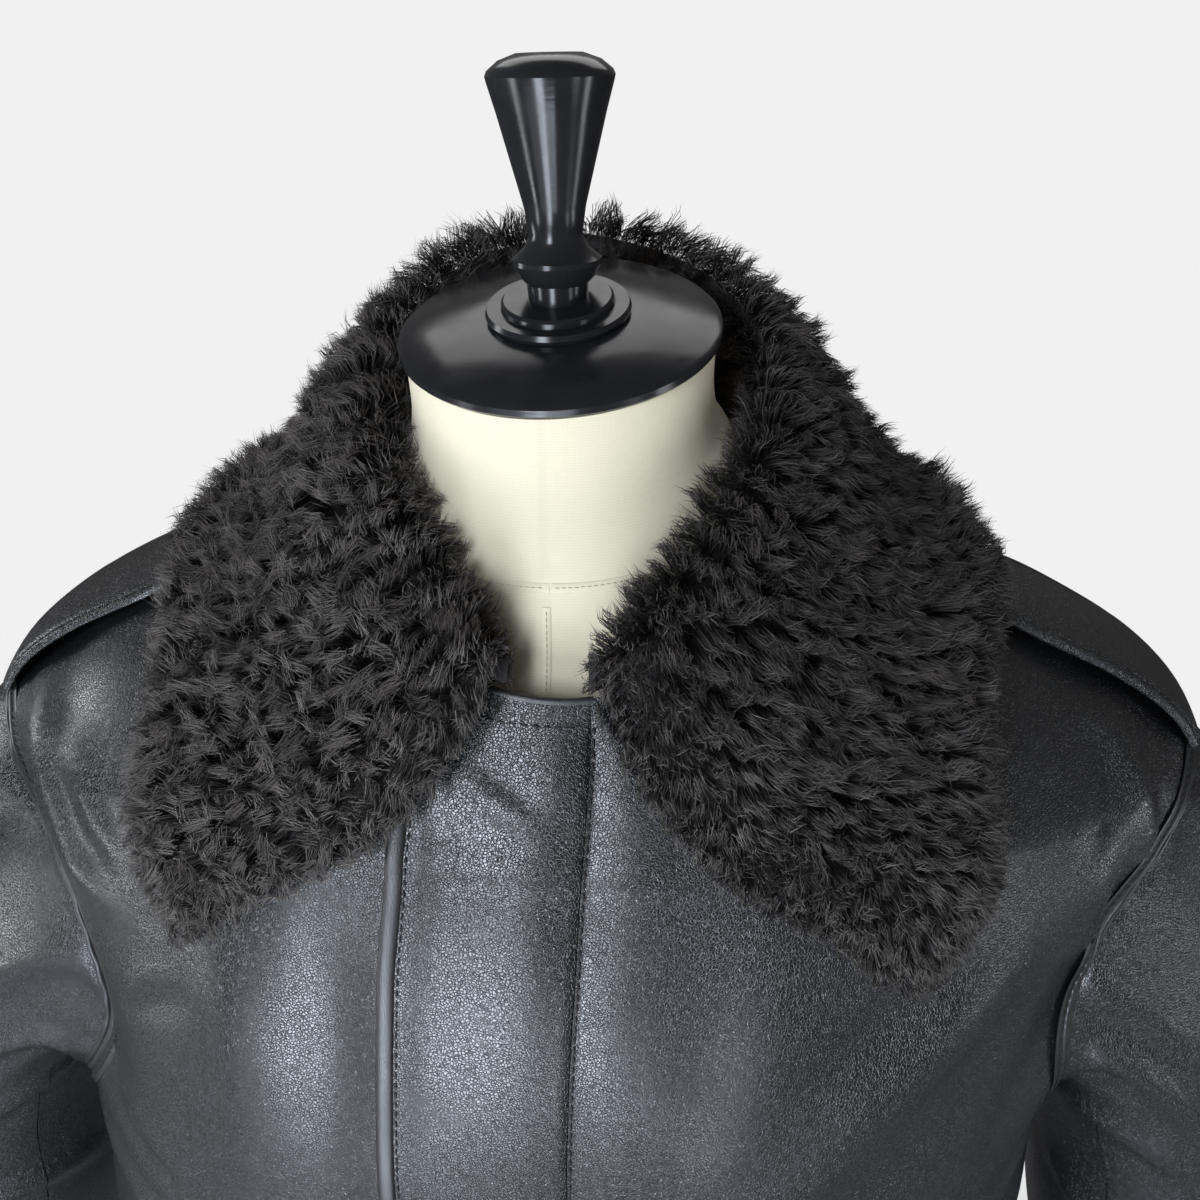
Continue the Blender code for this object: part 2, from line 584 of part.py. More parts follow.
def leaf_section(leaf_rows, share, steps):
    """The pile's surface at one share of a leaf's length: from the neckline to its outer edge."""
    row = read_rows(leaf_rows, share)
    turn, top, out, mid_turn, mid_level, mid_lift, edge_turn, edge_level, lift = row
    up = np.array([0.0, 0.0, 1.0])
    foot = body_point(turn, 1.0)[0]
    flat = unit(np.array([foot[0] - JACKET_RINGS[-1].aside, foot[1], 0.0]))
    roll = np.minimum(ROLL_RADIUS, 0.5 * top)
    middle_of_roll = foot + up * (top - roll) + flat * out
    keys = [foot - up * 0.0002 - flat * 0.003]
    keys.append(middle_of_roll - roll * flat - 0.6 * roll * up)
    for angle in (170, 125, 80, 35):
        turned_out = math.cos(math.radians(angle)) * flat + math.sin(math.radians(angle)) * up
        keys.append(middle_of_roll + roll * turned_out)
    keys.append(body_point(mid_turn, mid_level, mid_lift + PILE_REACH)[0])
    halfway = (mid_turn + edge_turn) / 2, (mid_level + edge_level) / 2, (mid_lift + lift) / 2
    keys.append(body_point(halfway[0], halfway[1], halfway[2] + PILE_REACH + 0.001)[0])
    keys.append(body_point(edge_turn, edge_level, lift + PILE_REACH)[0])
    keys = np.array(keys)
    lengths = np.concatenate([[0], np.cumsum(np.linalg.norm(np.diff(keys, axis=0), axis=1))])
    table = np.column_stack([lengths / lengths[-1], keys])
    return np.stack(read_rows(table, steps), -1)


def make_collar():
    steps = np.array([0, 0.06, 0.13, 0.20, 0.27, 0.34, 0.42, 0.53, 0.66, 0.80, 0.91, 0.97, 1.0])
    shares = np.concatenate([np.linspace(0, 0.9, 12), [0.94, 0.98, 1.0]])
    right = [leaf_section(RIGHT_LEAF, share, steps) for share in shares[:0:-1]]
    left = [leaf_section(LEFT_LEAF, share, steps) for share in shares]
    crown = np.array(right + left).transpose(1, 0, 2)
    normal = grid_normals(crown)
    from_neckline = np.sqrt(np.clip(steps / 0.12, 0.03, 1))[:, None]
    from_edge = np.sqrt(np.clip((1.01 - steps) / 0.12, 0, 1))[:, None]
    end = np.concatenate([shares[:0:-1], shares])
    from_end = np.sqrt(np.clip((1.01 - end) / 0.07, 0, 1))
    skin = crown - PILE_REACH * from_neckline[..., None] * normal
    pile = skin + (PILE_REACH * from_neckline * from_edge * from_end)[..., None] * normal
    wall("collar", pile, skin, "shearling")


def make_epaulette(side, name):
    shares = np.linspace(0, 1, 10)
    level, half, lift = read_rows(EPAULETTE, shares)
    row = read_rows(JACKET_RINGS, level)
    per_degree = math.radians(1) * 0.5 * (row[4] + row[5])
    turns = side * 90.0 + np.linspace(-1, 1, 5) * (half / per_degree)[:, None]
    lower, normal = body_point(turns, level[:, None], lift[:, None])
    wall(f"epaulette_{name}", lower + EPAULETTE_THICK * normal, lower, "leather")


# ---------------------------------------------------------------- the dress form
def turned(name, profile, finish, segments, seat=(0.0, 0.0, 0.0), lean=(0.0, 0.0)):
    """A turned piece: its profile spun round its axis, leaned forwards and aside, on its seat."""
    angles = np.radians(np.arange(0, 360, 360 / segments))
    points, rings = [], []
    for step in profile:
        if step.radius == 0:
            rings.append([len(points)])
            points.append((0.0, 0.0, step.height))
            continue
        rings.append(list(range(len(points), len(points) + segments)))
        points += [
            (step.radius * math.cos(a), step.radius * math.sin(a), step.height) for a in angles
        ]
    faces = []
    if profile[0].radius > 0:
        rings.append(rings[0])
    for low, high in zip(rings, rings[1:]):
        for k in range(segments):
            after = (k + 1) % segments
            if len(low) == 1:
                faces.append([low[0], high[after], high[k]])
            elif len(high) == 1:
                faces.append([low[k], low[after], high[0]])
            else:
                faces.append([low[k], low[after], high[after], high[k]])
    made = add_object(name, points, faces, finish)
    made.rotation_euler = (lean[0], lean[1], 0.0)
    made.location = seat
    made.data.shade_smooth()
    made.data.set_sharp_from_angle(angle=math.radians(35))
    return made


def form_droop(x, level):
    """How far the form's shoulders drop, as the jacket's do."""
    shoulders = smooth_step((level - 0.60) / 0.26) * (1 - smooth_step((level - 0.93) / 0.04))
    return SHOULDER_DROOP * shoulders * (x + 0.10)


def make_form():
    levels = np.array([0, 0.1, 0.19, 0.28, 0.35, 0.42, 0.5, 0.58, 0.65, 0.72, 0.76, 0.80])
    levels = np.concatenate([levels, [0.85, 0.87, 0.89, 0.905, 0.92, 0.932, 0.945, 0.957]])
    levels = np.concatenate([levels, [0.97, 0.985, 1.0]])
    turns = np.arange(0, 360, 15.0)
    turn, level = np.meshgrid(turns, levels)
    rings = ring_point(FORM_RINGS, turn, level)
    aside = smooth_step((level - 0.92) / 0.08) * math.tan(NECK_SIDE_TILT)
    rings[..., 2] += rings[..., 0] * aside - form_droop(rings[..., 0], level)
    columns = len(turns)
    faces = []
    for r in range(len(levels) - 1):
        for c in range(columns):
            after = (c + 1) % columns
            low, high = r * columns, (r + 1) * columns
            faces.append([low + c, low + after, high + after, high + c])
    top = (len(levels) - 1) * columns
    faces.append(list(reversed(range(columns))))
    faces.append([top + c for c in range(columns)])
    made = add_object("form_torso", rings.reshape(-1, 3), faces, "canvas")
    made.data.shade_smooth()
    made.data.set_sharp_from_angle(angle=math.radians(50))
    lean = (NECK_TILT, -NECK_SIDE_TILT)
    up = np.array(Euler((*lean, 0.0)).to_matrix())[:, 2]
    seat = np.array([0.0, 0.0, NECK_TOP]) + up * SEAM_GAP
    turned("neck_cap", NECK_CAP, "black_wood", 36, seat, lean)
    seat = seat + up * (NECK_CAP[-1].height + SEAM_GAP)
    turned("cap_rings", CAP_RINGS, "black_wood", 28, seat, lean)
    sunk = FINIAL[1].radius * math.tan(math.hypot(*lean))
    turned("finial", FINIAL, "black_wood", 28, seat + np.array([0.0, 0.0, sunk]))
    turned("foot", FOOT, "black_wood", 32)


def main():
    for leftover in list(bpy.data.objects):
        bpy.data.objects.remove(leftover)
    make_fronts()
    make_back()
    make_placket()
    make_waistband()
    make_sleeve(1, "left")
    make_sleeve(-1, "right")
    make_collar()
    make_epaulette(1, "left")
    make_epaulette(-1, "right")
    make_form()


if __name__ == "__main__":
    main()
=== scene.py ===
"""The looks of a leather flight jacket with a shearling collar on a dress form.

Metres, +Z up. The jacket's front faces -Y and the wearer's left is +X. A place on the body is a
turn (degrees from the centre front, + to the wearer's left) and a level (0 at the waistband seam,
1 at the neckline); a place on a sleeve is phi (degrees round it, 0 at the underarm, 90 in front)
and a share of the arm's length.
"""

import math
from collections import namedtuple

import bmesh
import bpy
import numpy as np
from bpy.props import FloatProperty, FloatVectorProperty, IntProperty, PointerProperty
from mathutils import Euler, Matrix, Vector
from mathutils.kdtree import KDTree


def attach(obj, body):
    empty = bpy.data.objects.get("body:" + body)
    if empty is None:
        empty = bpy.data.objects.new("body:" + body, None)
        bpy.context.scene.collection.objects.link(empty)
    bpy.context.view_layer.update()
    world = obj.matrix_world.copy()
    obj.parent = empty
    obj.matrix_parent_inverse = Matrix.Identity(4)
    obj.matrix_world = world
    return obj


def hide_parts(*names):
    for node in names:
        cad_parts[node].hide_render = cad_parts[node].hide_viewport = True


bl_info = {
    "name": "Flight jacket on a dress form",
    "version": (1, 0, 0),
    "blender": (4, 5, 0),
    "location": "3D View > Sidebar > Jacket",
    "description": "Builds a leather flight jacket with a shearling collar on a dress form",
    "category": "Object",
}

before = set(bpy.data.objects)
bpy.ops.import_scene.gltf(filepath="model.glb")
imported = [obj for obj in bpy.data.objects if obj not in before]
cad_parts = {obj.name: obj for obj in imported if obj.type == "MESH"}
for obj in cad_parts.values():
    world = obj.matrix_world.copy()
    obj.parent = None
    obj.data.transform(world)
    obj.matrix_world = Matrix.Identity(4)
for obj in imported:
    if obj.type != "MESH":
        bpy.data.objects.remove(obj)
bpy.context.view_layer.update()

# ---------------------------------------------------------------- sizes
LEATHER = 0.0016
SEAM_GAP = 0.0003
RIB_KNIT = 0.0036
PLACKET_THICK = 0.0024
PILE_REACH = 0.0160  # skin and pile of the shearling together
ROLL_RADIUS = 0.0170  # of the pile where the collar folds over

SHOULDER_DROOP = 0.030  # slope of the shoulders down to the wearer's left
RIGHT_ARM_OUT = 0.020  # the right sleeve hangs this much further from the body
UNDERARM_CLEAR = 0.012  # how far the sleeves are pushed off the body under the arms
PLACKET_SEAM_X = 0.0082  # the seam that joins the storm placket to the left front
PLACKET_EDGE_X = -0.0585  # its free edge, on the wearer's right
PLACKET_LEAN = 0.0080  # both slant this far to the wearer's left at the neckline
PLACKET_RAMP = 8.0  # degrees over which the right front sinks under the placket
RIGHT_FRONT_SHARE = 0.85  # how far across the placket the right front reaches under it

WAISTBAND_LEVEL = -0.10
UNDERARM_LEVEL = 0.54
SHOULDER_LEVEL = 0.84
ARMHOLE_FRONT_LEFT = 33.0  # degrees that each armhole cuts into its front
ARMHOLE_FRONT_RIGHT = 40.0
ARMHOLE_BACK = 21.0
ARMHOLE_SHAPE = 0.85  # below 1 the armhole is squarer than an ellipse

SLEEVE_BLEND = 0.30  # share of the sleeve over which the armhole turns into a round ring
FRONT_SEAM = 45.0  # degrees round the sleeve of the seam at the front of the underarm
BACK_SEAM = 315.0
CUFF_ALONG = 0.905  # share of the arm at which the leather ends and the rib cuff starts

NECK_RADIUS = 0.0565
NECK_TILT = math.atan2(0.0132, NECK_RADIUS)  # the neck's top leans forwards
NECK_SIDE_TILT = math.radians(1.2)  # and a little to the wearer's right
NECK_TOP = 0.7995

RING_EASE = 0.032  # of level, over which the rings are evened out
Ring = namedtuple(
    "Ring", "level front side back half_width front_depth back_depth square aside"
)

# The jacket's body, from the waistband's lower edge to the neckline.
JACKET_RINGS = (
    Ring(-0.10, 0.115, 0.115, 0.115, 0.178, 0.130, 0.126, 2.3, 0.000),
    Ring(0.00, 0.175, 0.175, 0.175, 0.184, 0.136, 0.131, 2.3, 0.000),
    Ring(0.06, 0.206, 0.207, 0.207, 0.205, 0.154, 0.146, 2.4, -0.002),
    Ring(0.20, 0.282, 0.283, 0.283, 0.212, 0.160, 0.146, 2.4, -0.006),
    Ring(0.38, 0.382, 0.382, 0.382, 0.215, 0.162, 0.143, 2.4, -0.010),
    Ring(0.54, 0.484, 0.475, 0.476, 0.219, 0.161, 0.143, 2.4, -0.008),
    Ring(0.66, 0.556, 0.546, 0.551, 0.230, 0.154, 0.142, 2.2, -0.002),
    Ring(0.76, 0.614, 0.605, 0.615, 0.242, 0.141, 0.135, 2.05, 0.003),
    Ring(0.84, 0.655, 0.653, 0.666, 0.249, 0.127, 0.121, 1.9, 0.006),
    Ring(0.90, 0.677, 0.685, 0.706, 0.206, 0.114, 0.108, 1.9, 0.006),
    Ring(0.95, 0.692, 0.715, 0.740, 0.145, 0.103, 0.095, 1.95, 0.005),
    Ring(1.00, 0.7055, 0.742, 0.764, 0.078, 0.094, 0.087, 2.0, 0.004),
)

# The dress form, from its flat underside to the top of its neck.
FORM_RINGS = (
    Ring(0.00, 0.0553, 0.0553, 0.0553, 0.150, 0.104, 0.112, 2.2, 0.0),
    Ring(0.10, 0.110, 0.110, 0.110, 0.164, 0.112, 0.118, 2.2, 0.0),
    Ring(0.28, 0.230, 0.230, 0.230, 0.156, 0.108, 0.108, 2.2, 0.0),
    Ring(0.42, 0.325, 0.325, 0.325, 0.152, 0.108, 0.100, 2.3, 0.0),
    Ring(0.58, 0.430, 0.430, 0.435, 0.168, 0.122, 0.112, 2.3, 0.0),
    Ring(0.72, 0.525, 0.520, 0.530, 0.180, 0.127, 0.118, 2.3, 0.0),
    Ring(0.80, 0.592, 0.592, 0.598, 0.188, 0.121, 0.115, 2.15, 0.0),
    Ring(0.85, 0.638, 0.652, 0.654, 0.182, 0.109, 0.106, 1.95, 0.003),
    Ring(0.89, 0.672, 0.7060, 0.700, 0.154, 0.093, 0.090, 1.95, 0.0048),
    Ring(0.92, 0.694, 0.7230, 0.726, 0.114, 0.079, 0.075, 2.0, 0.0038),
    Ring(0.945, 0.717, 0.732, 0.748, 0.070, 0.068, 0.063, 2.0, 0.0),
    Ring(0.97, 0.744, 0.760, 0.779, 0.057, 0.058, 0.057, 2.0, 0.0),
    Ring(1.00, 0.7863, 0.7995, 0.8127, NECK_RADIUS, NECK_RADIUS, NECK_RADIUS, 2.0, 0.0),
)

# The middle of the left sleeve: side and deep are its half sizes across and front to back.
Arm = namedtuple("Arm", "along x y z side deep")
LEFT_ARM = (
    Arm(0.00, 0.234, 0.002, 0.567, 0.092, 0.078),
    Arm(0.12, 0.262, -0.002, 0.520, 0.082, 0.084),
    Arm(0.26, 0.281, -0.008, 0.450, 0.068, 0.083),
    Arm(0.42, 0.292, -0.015, 0.368, 0.062, 0.078),
    Arm(0.56, 0.301, -0.025, 0.298, 0.058, 0.073),
    Arm(0.72, 0.309, -0.040, 0.220, 0.054, 0.065),
    Arm(0.84, 0.316, -0.053, 0.164, 0.052, 0.060),
    Arm(0.88, 0.317, -0.057, 0.146, 0.048, 0.055),
    Arm(0.905, 0.317, -0.060, 0.135, 0.041, 0.046),
    Arm(1.00, 0.319, -0.069, 0.080, 0.036, 0.041),
)

# Large soft folds of the body: a ridge (depth > 0) or trough from one place to another.
Fold = namedtuple("Fold", "turn level end_turn end_level width depth")
BODY_FOLDS = (
    Fold(-80, 0.82, -58, 0.60, 0.017, 0.007),
    Fold(-62, 0.80, -48, 0.62, 0.016, -0.006),
    Fold(80, 0.82, 58, 0.60, 0.018, 0.006),
    Fold(60, 0.80, 47, 0.60, 0.018, -0.005),
    Fold(-72, 0.50, -30, 0.30, 0.030, 0.006),
    Fold(74, 0.50, 34, 0.28, 0.030, 0.005),
    Fold(108, 0.78, 124, 0.52, 0.022, 0.007),
    Fold(-108, 0.78, -126, 0.50, 0.022, 0.006),
    Fold(104, 0.48, 150, 0.22, 0.032, 0.006),
    Fold(-106, 0.46, -148, 0.20, 0.032, 0.005),
)
METRES_PER_DEGREE = 0.0034
METRES_PER_LEVEL = 0.62
METRES_PER_FRONT_DEGREE = 0.0040  # at the centre front
SEAM_PULL = 0.0018  # how far the placket's seam draws the cloth in
SEAM_PULL_WIDTH = 0.0100

# Large folds of a sleeve: round it in degrees, and along it as a share of the arm.
SLEEVE_FOLDS = (
    Fold(95, 0.24, 215, 0.33, 0.020, -0.006),
    Fold(60, 0.46, 170, 0.52, 0.018, -0.007),
    Fold(70, 0.56, 200, 0.60, 0.018, -0.007),
    Fold(80, 0.68, 230, 0.72, 0.018, -0.005),
)
SLEEVE_METRES_PER_DEGREE = 0.0012
SLEEVE_METRES_PER_SHARE = 0.60

# The collar, from the centre back to a front end. turn: where it is sewn on the neckline; top and
# out: how high its pile stands over the neckline and how far outside it the middle of the roll
# lies; mid and edge: the places on the body over which the middle of its fall and its outer edge
# lie, and how high the skin is there.
Leaf = namedtuple(
    "Leaf", "share turn top out mid_turn mid_level mid_lift edge_turn edge_level lift"
)
LEFT_LEAF = (
    Leaf(0.00, 180.0, 0.074, 0.006, 180.0, 0.930, 0.008, 180.0, 0.880, 0.004),
    Leaf(0.20, 140.0, 0.065, 0.006, 139.0, 0.935, 0.006, 138.0, 0.892, 0.005),
    Leaf(0.40, 105.0, 0.050, 0.003, 107.0, 0.955, 0.004, 110.0, 0.940, 0.009),
    Leaf(0.55, 80.0, 0.045, -0.004, 82.0, 0.957, 0.005, 84.0, 0.942, 0.010),
    Leaf(0.70, 55.0, 0.046, -0.009, 57.0, 0.950, 0.004, 60.0, 0.930, 0.006),
    Leaf(0.82, 35.0, 0.041, -0.008, 39.0, 0.928, 0.004, 47.0, 0.903, 0.003),
    Leaf(0.92, 20.0, 0.033, -0.001, 25.0, 0.890, 0.004, 38.0, 0.858, 0.003),
    Leaf(1.00, 8.5, 0.026, 0.000, 12.5, 0.858, 0.003, 31.0, 0.756, 0.003),
)
RIGHT_LEAF = (
    Leaf(0.00, -180.0, 0.074, 0.006, -180.0, 0.930, 0.008, -180.0, 0.880, 0.004),
    Leaf(0.20, -140.0, 0.068, 0.005, -139.0, 0.935, 0.006, -138.0, 0.892, 0.005),
    Leaf(0.40, -105.0, 0.052, 0.004, -106.0, 0.956, 0.004, -108.0, 0.943, 0.009),
    Leaf(0.55, -80.0, 0.046, -0.003, -81.0, 0.961, 0.005, -83.0, 0.944, 0.010),
    Leaf(0.70, -55.0, 0.045, -0.007, -58.0, 0.955, 0.004, -63.0, 0.931, 0.006),
    Leaf(0.82, -35.0, 0.040, -0.006, -38.0, 0.935, 0.004, -47.5, 0.899, 0.003),
    Leaf(0.92, -22.0, 0.031, -0.002, -27.0, 0.893, 0.004, -39.0, 0.848, 0.003),
    Leaf(1.00, -12.5, 0.026, 0.000, -15.0, 0.862, 0.003, -32.5, 0.762, 0.003),
)

# An epaulette, from the armhole to its free end under the collar: half is half its width.
Strap = namedtuple("Strap", "share level half lift")
EPAULETTE = (
    Strap(0.00, 0.843, 0.0270, 0.0008),
    Strap(0.25, 0.866, 0.0265, 0.0040),
    Strap(0.55, 0.896, 0.0250, 0.0048),
    Strap(0.85, 0.930, 0.0220, 0.0030),
    Strap(0.93, 0.939, 0.0190, 0.0024),
    Strap(1.00, 0.948, 0.0060, 0.0020),
)

# Turned pieces of the form: half their width at each height over their own seat.
Turned = namedtuple("Turned", "height radius")
NECK_CAP = (
    Turned(0.0000, 0.0000),
    Turned(0.0000, 0.0580),
    Turned(0.0012, 0.0590),
    Turned(0.0034, 0.0588),
    Turned(0.0048, 0.0568),
    Turned(0.0088, 0.0275),
    Turned(0.0088, 0.0000),
)
CAP_RINGS = (
    Turned(0.0000, 0.0150),
    Turned(0.0000, 0.0258),
    Turned(0.0016, 0.0264),
    Turned(0.0034, 0.0256),
    Turned(0.0034, 0.0207),
    Turned(0.0052, 0.0203),
    Turned(0.0062, 0.0193),
    Turned(0.0062, 0.0150),
)
FINIAL = (
    Turned(0.0000, 0.0000),
    Turned(0.0000, 0.0105),
    Turned(0.0080, 0.0110),
    Turned(0.0110, 0.0140),
    Turned(0.0150, 0.0160),
    Turned(0.0166, 0.0158),
    Turned(0.0205, 0.0112),
    Turned(0.0250, 0.0094),
    Turned(0.0340, 0.0108),
    Turned(0.0640, 0.0186),
    Turned(0.0730, 0.0212),
    Turned(0.0748, 0.0216),
    Turned(0.0764, 0.0209),
    Turned(0.0794, 0.0170),
    Turned(0.0814, 0.0112),
    Turned(0.0822, 0.0000),
)
FOOT = (
    Turned(0.0000, 0.0000),
    Turned(0.0000, 0.1480),
    Turned(0.0030, 0.1500),
    Turned(0.0140, 0.1500),
    Turned(0.0200, 0.1440),
    Turned(0.0240, 0.0700),
    Turned(0.0300, 0.0560),
    Turned(0.0550, 0.0540),
    Turned(0.0550, 0.0000),
)

# ---------------------------------------------------------------- reading the tables
def read_rows(rows, place):
    """Every column of rows after the first, read smoothly at places along the first."""
    table = np.array(rows, float)
    knots = table[:, 0]
    slopes = np.gradient(table, knots, axis=0)
    place = np.clip(np.asarray(place, float), knots[0], knots[-1])
    i = np.clip(np.searchsorted(knots, place, side="right") - 1, 0, len(knots) - 2)
    gap = (knots[i + 1] - knots[i])[..., None]
    s = ((place - knots[i]) / (knots[i + 1] - knots[i]))[..., None]
    value = (
        (1 + 2 * s) * (1 - s) ** 2 * table[i]
        + s * (1 - s) ** 2 * gap * slopes[i]
        + s**2 * (3 - 2 * s) * table[i + 1]
        + s**2 * (s - 1) * gap * slopes[i + 1]
    )
    return [value[..., k] for k in range(1, table.shape[1])]


def smooth_step(x):
    x = np.clip(x, 0.0, 1.0)
    return x * x * (3 - 2 * x)


def unit(vectors):
    return vectors / np.maximum(np.linalg.norm(vectors, axis=-1, keepdims=True), 1e-12)


def ring_point(rows, turn, level):
    """The place on a stack of rings at a turn and a level, evened out over RING_EASE of level."""
    level = np.asarray(level, float)
    room = np.clip(np.minimum(level - rows[0].level, rows[-1].level - level) / RING_EASE, 0, 1)
    steps = [read_rows(rows, level + share * RING_EASE * room) for share in (-1, -0.5, 0, 0.5, 1)]
    front, side, back, half_width, front_depth, back_depth, square, aside = np.mean(steps, axis=0)
    angle = np.radians(turn)
    sine, cosine = np.sin(angle), np.cos(angle)
    reach = (np.abs(sine) ** square + np.abs(cosine) ** square) ** (-1 / square)
    depth = np.where(cosine > 0, front_depth, back_depth)
    middle = (front + back) / 2
    height = middle - (back - front) / 2 * cosine + (side - middle) * sine**2
    return np.stack(
        [aside + half_width * reach * sine, -depth * reach * cosine, height + 0 * reach], axis=-1
    )


def fold_height(folds, across, along, metres_across, metres_along):
    """How far the folds raise the cloth at a place."""
    height = np.zeros(np.broadcast(across, along).shape)
    for fold in folds:
        start = np.array([fold.turn * metres_across, fold.level * metres_along])
        run = np.array([fold.end_turn * metres_across, fold.end_level * metres_along]) - start
        dx = across * metres_across - start[0]
        dy = along * metres_along - start[1]
        share = np.clip((dx * run[0] + dy * run[1]) / (run @ run), 0, 1)
        away = np.hypot(dx - share * run[0], dy - share * run[1])
        taper = 0.35 + 0.65 * np.sin(math.pi * share)
        height = height + fold.depth * taper * np.exp(-((away / fold.width) ** 2))
    return height


# ---------------------------------------------------------------- the jacket's surfaces
def body_point(turn, level, lift=0.0):
    """The jacket's outer surface, or a place lift metres over it, and the surface's normal."""
    turn, level = np.broadcast_arrays(np.asarray(turn, float), np.asarray(level, float))
    step_turn, step_level = 0.4, 0.002
    across = ring_point(JACKET_RINGS, turn + step_turn, level) - ring_point(
        JACKET_RINGS, turn - step_turn, level
    )
    along = ring_point(JACKET_RINGS, turn, level + step_level) - ring_point(
        JACKET_RINGS, turn, level - step_level
    )
    normal = unit(np.cross(across, along))
    wrapped = (turn + 180.0) % 360.0 - 180.0
    height = lift + fold_height(
        BODY_FOLDS, wrapped, level, METRES_PER_DEGREE, METRES_PER_LEVEL
    )
    droop = SHOULDER_DROOP * smooth_step((level - 0.60) / 0.26)
    place = ring_point(JACKET_RINGS, turn, level) + height[..., None] * normal
    place[..., 2] -= droop * (place[..., 0] + 0.10)
    return place, normal


def turn_at_x(x, level):
    """The turn near the centre front of a line down the jacket that leans like the placket."""
    level = np.asarray(level, float)
    x = x + PLACKET_LEAN * smooth_step((level - 0.60) / 0.35)
    row = read_rows(JACKET_RINGS, level)
    half_width, square, aside = row[3], row[6], row[7]
    angle = np.zeros_like(level)
    for _ in range(12):
        reach = (np.abs(np.sin(angle)) ** square + np.cos(angle) ** square) ** (-1 / square)
        angle = np.arcsin(np.clip((x - aside) / (half_width * reach), -0.9, 0.9))
    return np.degrees(angle)


def placket_tuck(turn, level):
    """How far the right front and the waistband sink to pass under the placket."""
    edge = turn_at_x(PLACKET_EDGE_X, level)
    seam = turn_at_x(PLACKET_SEAM_X, level)
    wrapped = (turn + 180.0) % 360.0 - 180.0
    under = smooth_step((wrapped - edge + PLACKET_RAMP + 1.0) / PLACKET_RAMP)
    return -(PLACKET_THICK + 4 * SEAM_GAP) * np.where(wrapped > seam, 0.0, under)


def armhole(phi, side=1):
    """Turn and level of the armhole: phi 0 underarm, 90 front, 180 shoulder, 270 back."""
    angle = np.radians(phi)
    level = UNDERARM_LEVEL + (SHOULDER_LEVEL - UNDERARM_LEVEL) * (1 - np.cos(angle)) / 2
    cut = np.abs(np.sin(angle)) ** ARMHOLE_SHAPE
    front = ARMHOLE_FRONT_LEFT if side > 0 else ARMHOLE_FRONT_RIGHT
    turn = 90.0 - np.where(np.sin(angle) > 0, front, -ARMHOLE_BACK) * cut
    return side * turn, level


def armhole_edge(phi, side):
    """Places on the armhole and the body's normals there, turned over to the wearer's left."""
    edge, normal = body_point(*armhole(phi, side))
    if side > 0:
        return edge, normal
    flip = np.array([-1.0, 1.0, 1.0])
    return edge * flip - np.array([RIGHT_ARM_OUT, 0.0, 0.0]), normal * flip


def sleeve_frame(along):
    """Centre, outward and forward directions and half sizes of the left sleeve's ring."""
    x, y, z, side, deep = read_rows(LEFT_ARM, along)
    centre = np.stack([x, y, z], -1)
    ahead = np.stack(read_rows(LEFT_ARM, np.asarray(along) + 0.01)[:3], -1)
    behind = np.stack(read_rows(LEFT_ARM, np.asarray(along) - 0.01)[:3], -1)
    run = unit(ahead - behind)
    forward = np.array([0.0, -1.0, 0.0]) - (run @ np.array([0.0, -1.0, 0.0]))[..., None] * run
    forward = unit(forward)
    outward = unit(np.cross(forward, run))
    return centre, outward, forward, side, deep


def sleeve_round(phi, along):
    """The left sleeve's surface as round rings, before it meets the armhole."""
    centre, outward, forward, side, deep = sleeve_frame(along)
    angle = np.radians(phi)
    offset = (-side * np.cos(angle))[..., None] * outward
    return centre + offset + (deep * np.sin(angle))[..., None] * forward


def sleeve_point(phi, along, side):
    """A sleeve's outer surface before its folds, as on the wearer's left. phi as in armhole()."""
    phi, along = np.broadcast_arrays(np.asarray(phi, float), np.asarray(along, float))
    edge, normal = armhole_edge(phi, side)
    middle = np.array([LEFT_ARM[0].x, LEFT_ARM[0].y, LEFT_ARM[0].z])
    inwards = middle - edge
    inwards = unit(inwards - (inwards * normal).sum(-1, keepdims=True) * normal)
    edge = edge + SEAM_GAP * (inwards + normal)
    share = smooth_step(along / SLEEVE_BLEND)[..., None]
    place = edge * (1 - share) + sleeve_round(phi, along) * share
    clear = np.maximum(np.cos(np.radians(phi)), 0) * smooth_step(along / 0.05)
    place[..., 0] += UNDERARM_CLEAR * clear * (1 - smooth_step((along - 0.1) / 0.3))
    return place


def grid_normals(points, closed=False):
    """Unit normals of a grid of points, rows by columns."""
    rows = np.gradient(points, axis=0)
    if closed:
        columns = np.roll(points, -1, axis=1) - np.roll(points, 1, axis=1)
    else:
        columns = np.gradient(points, axis=1)
    return unit(np.cross(columns, rows))


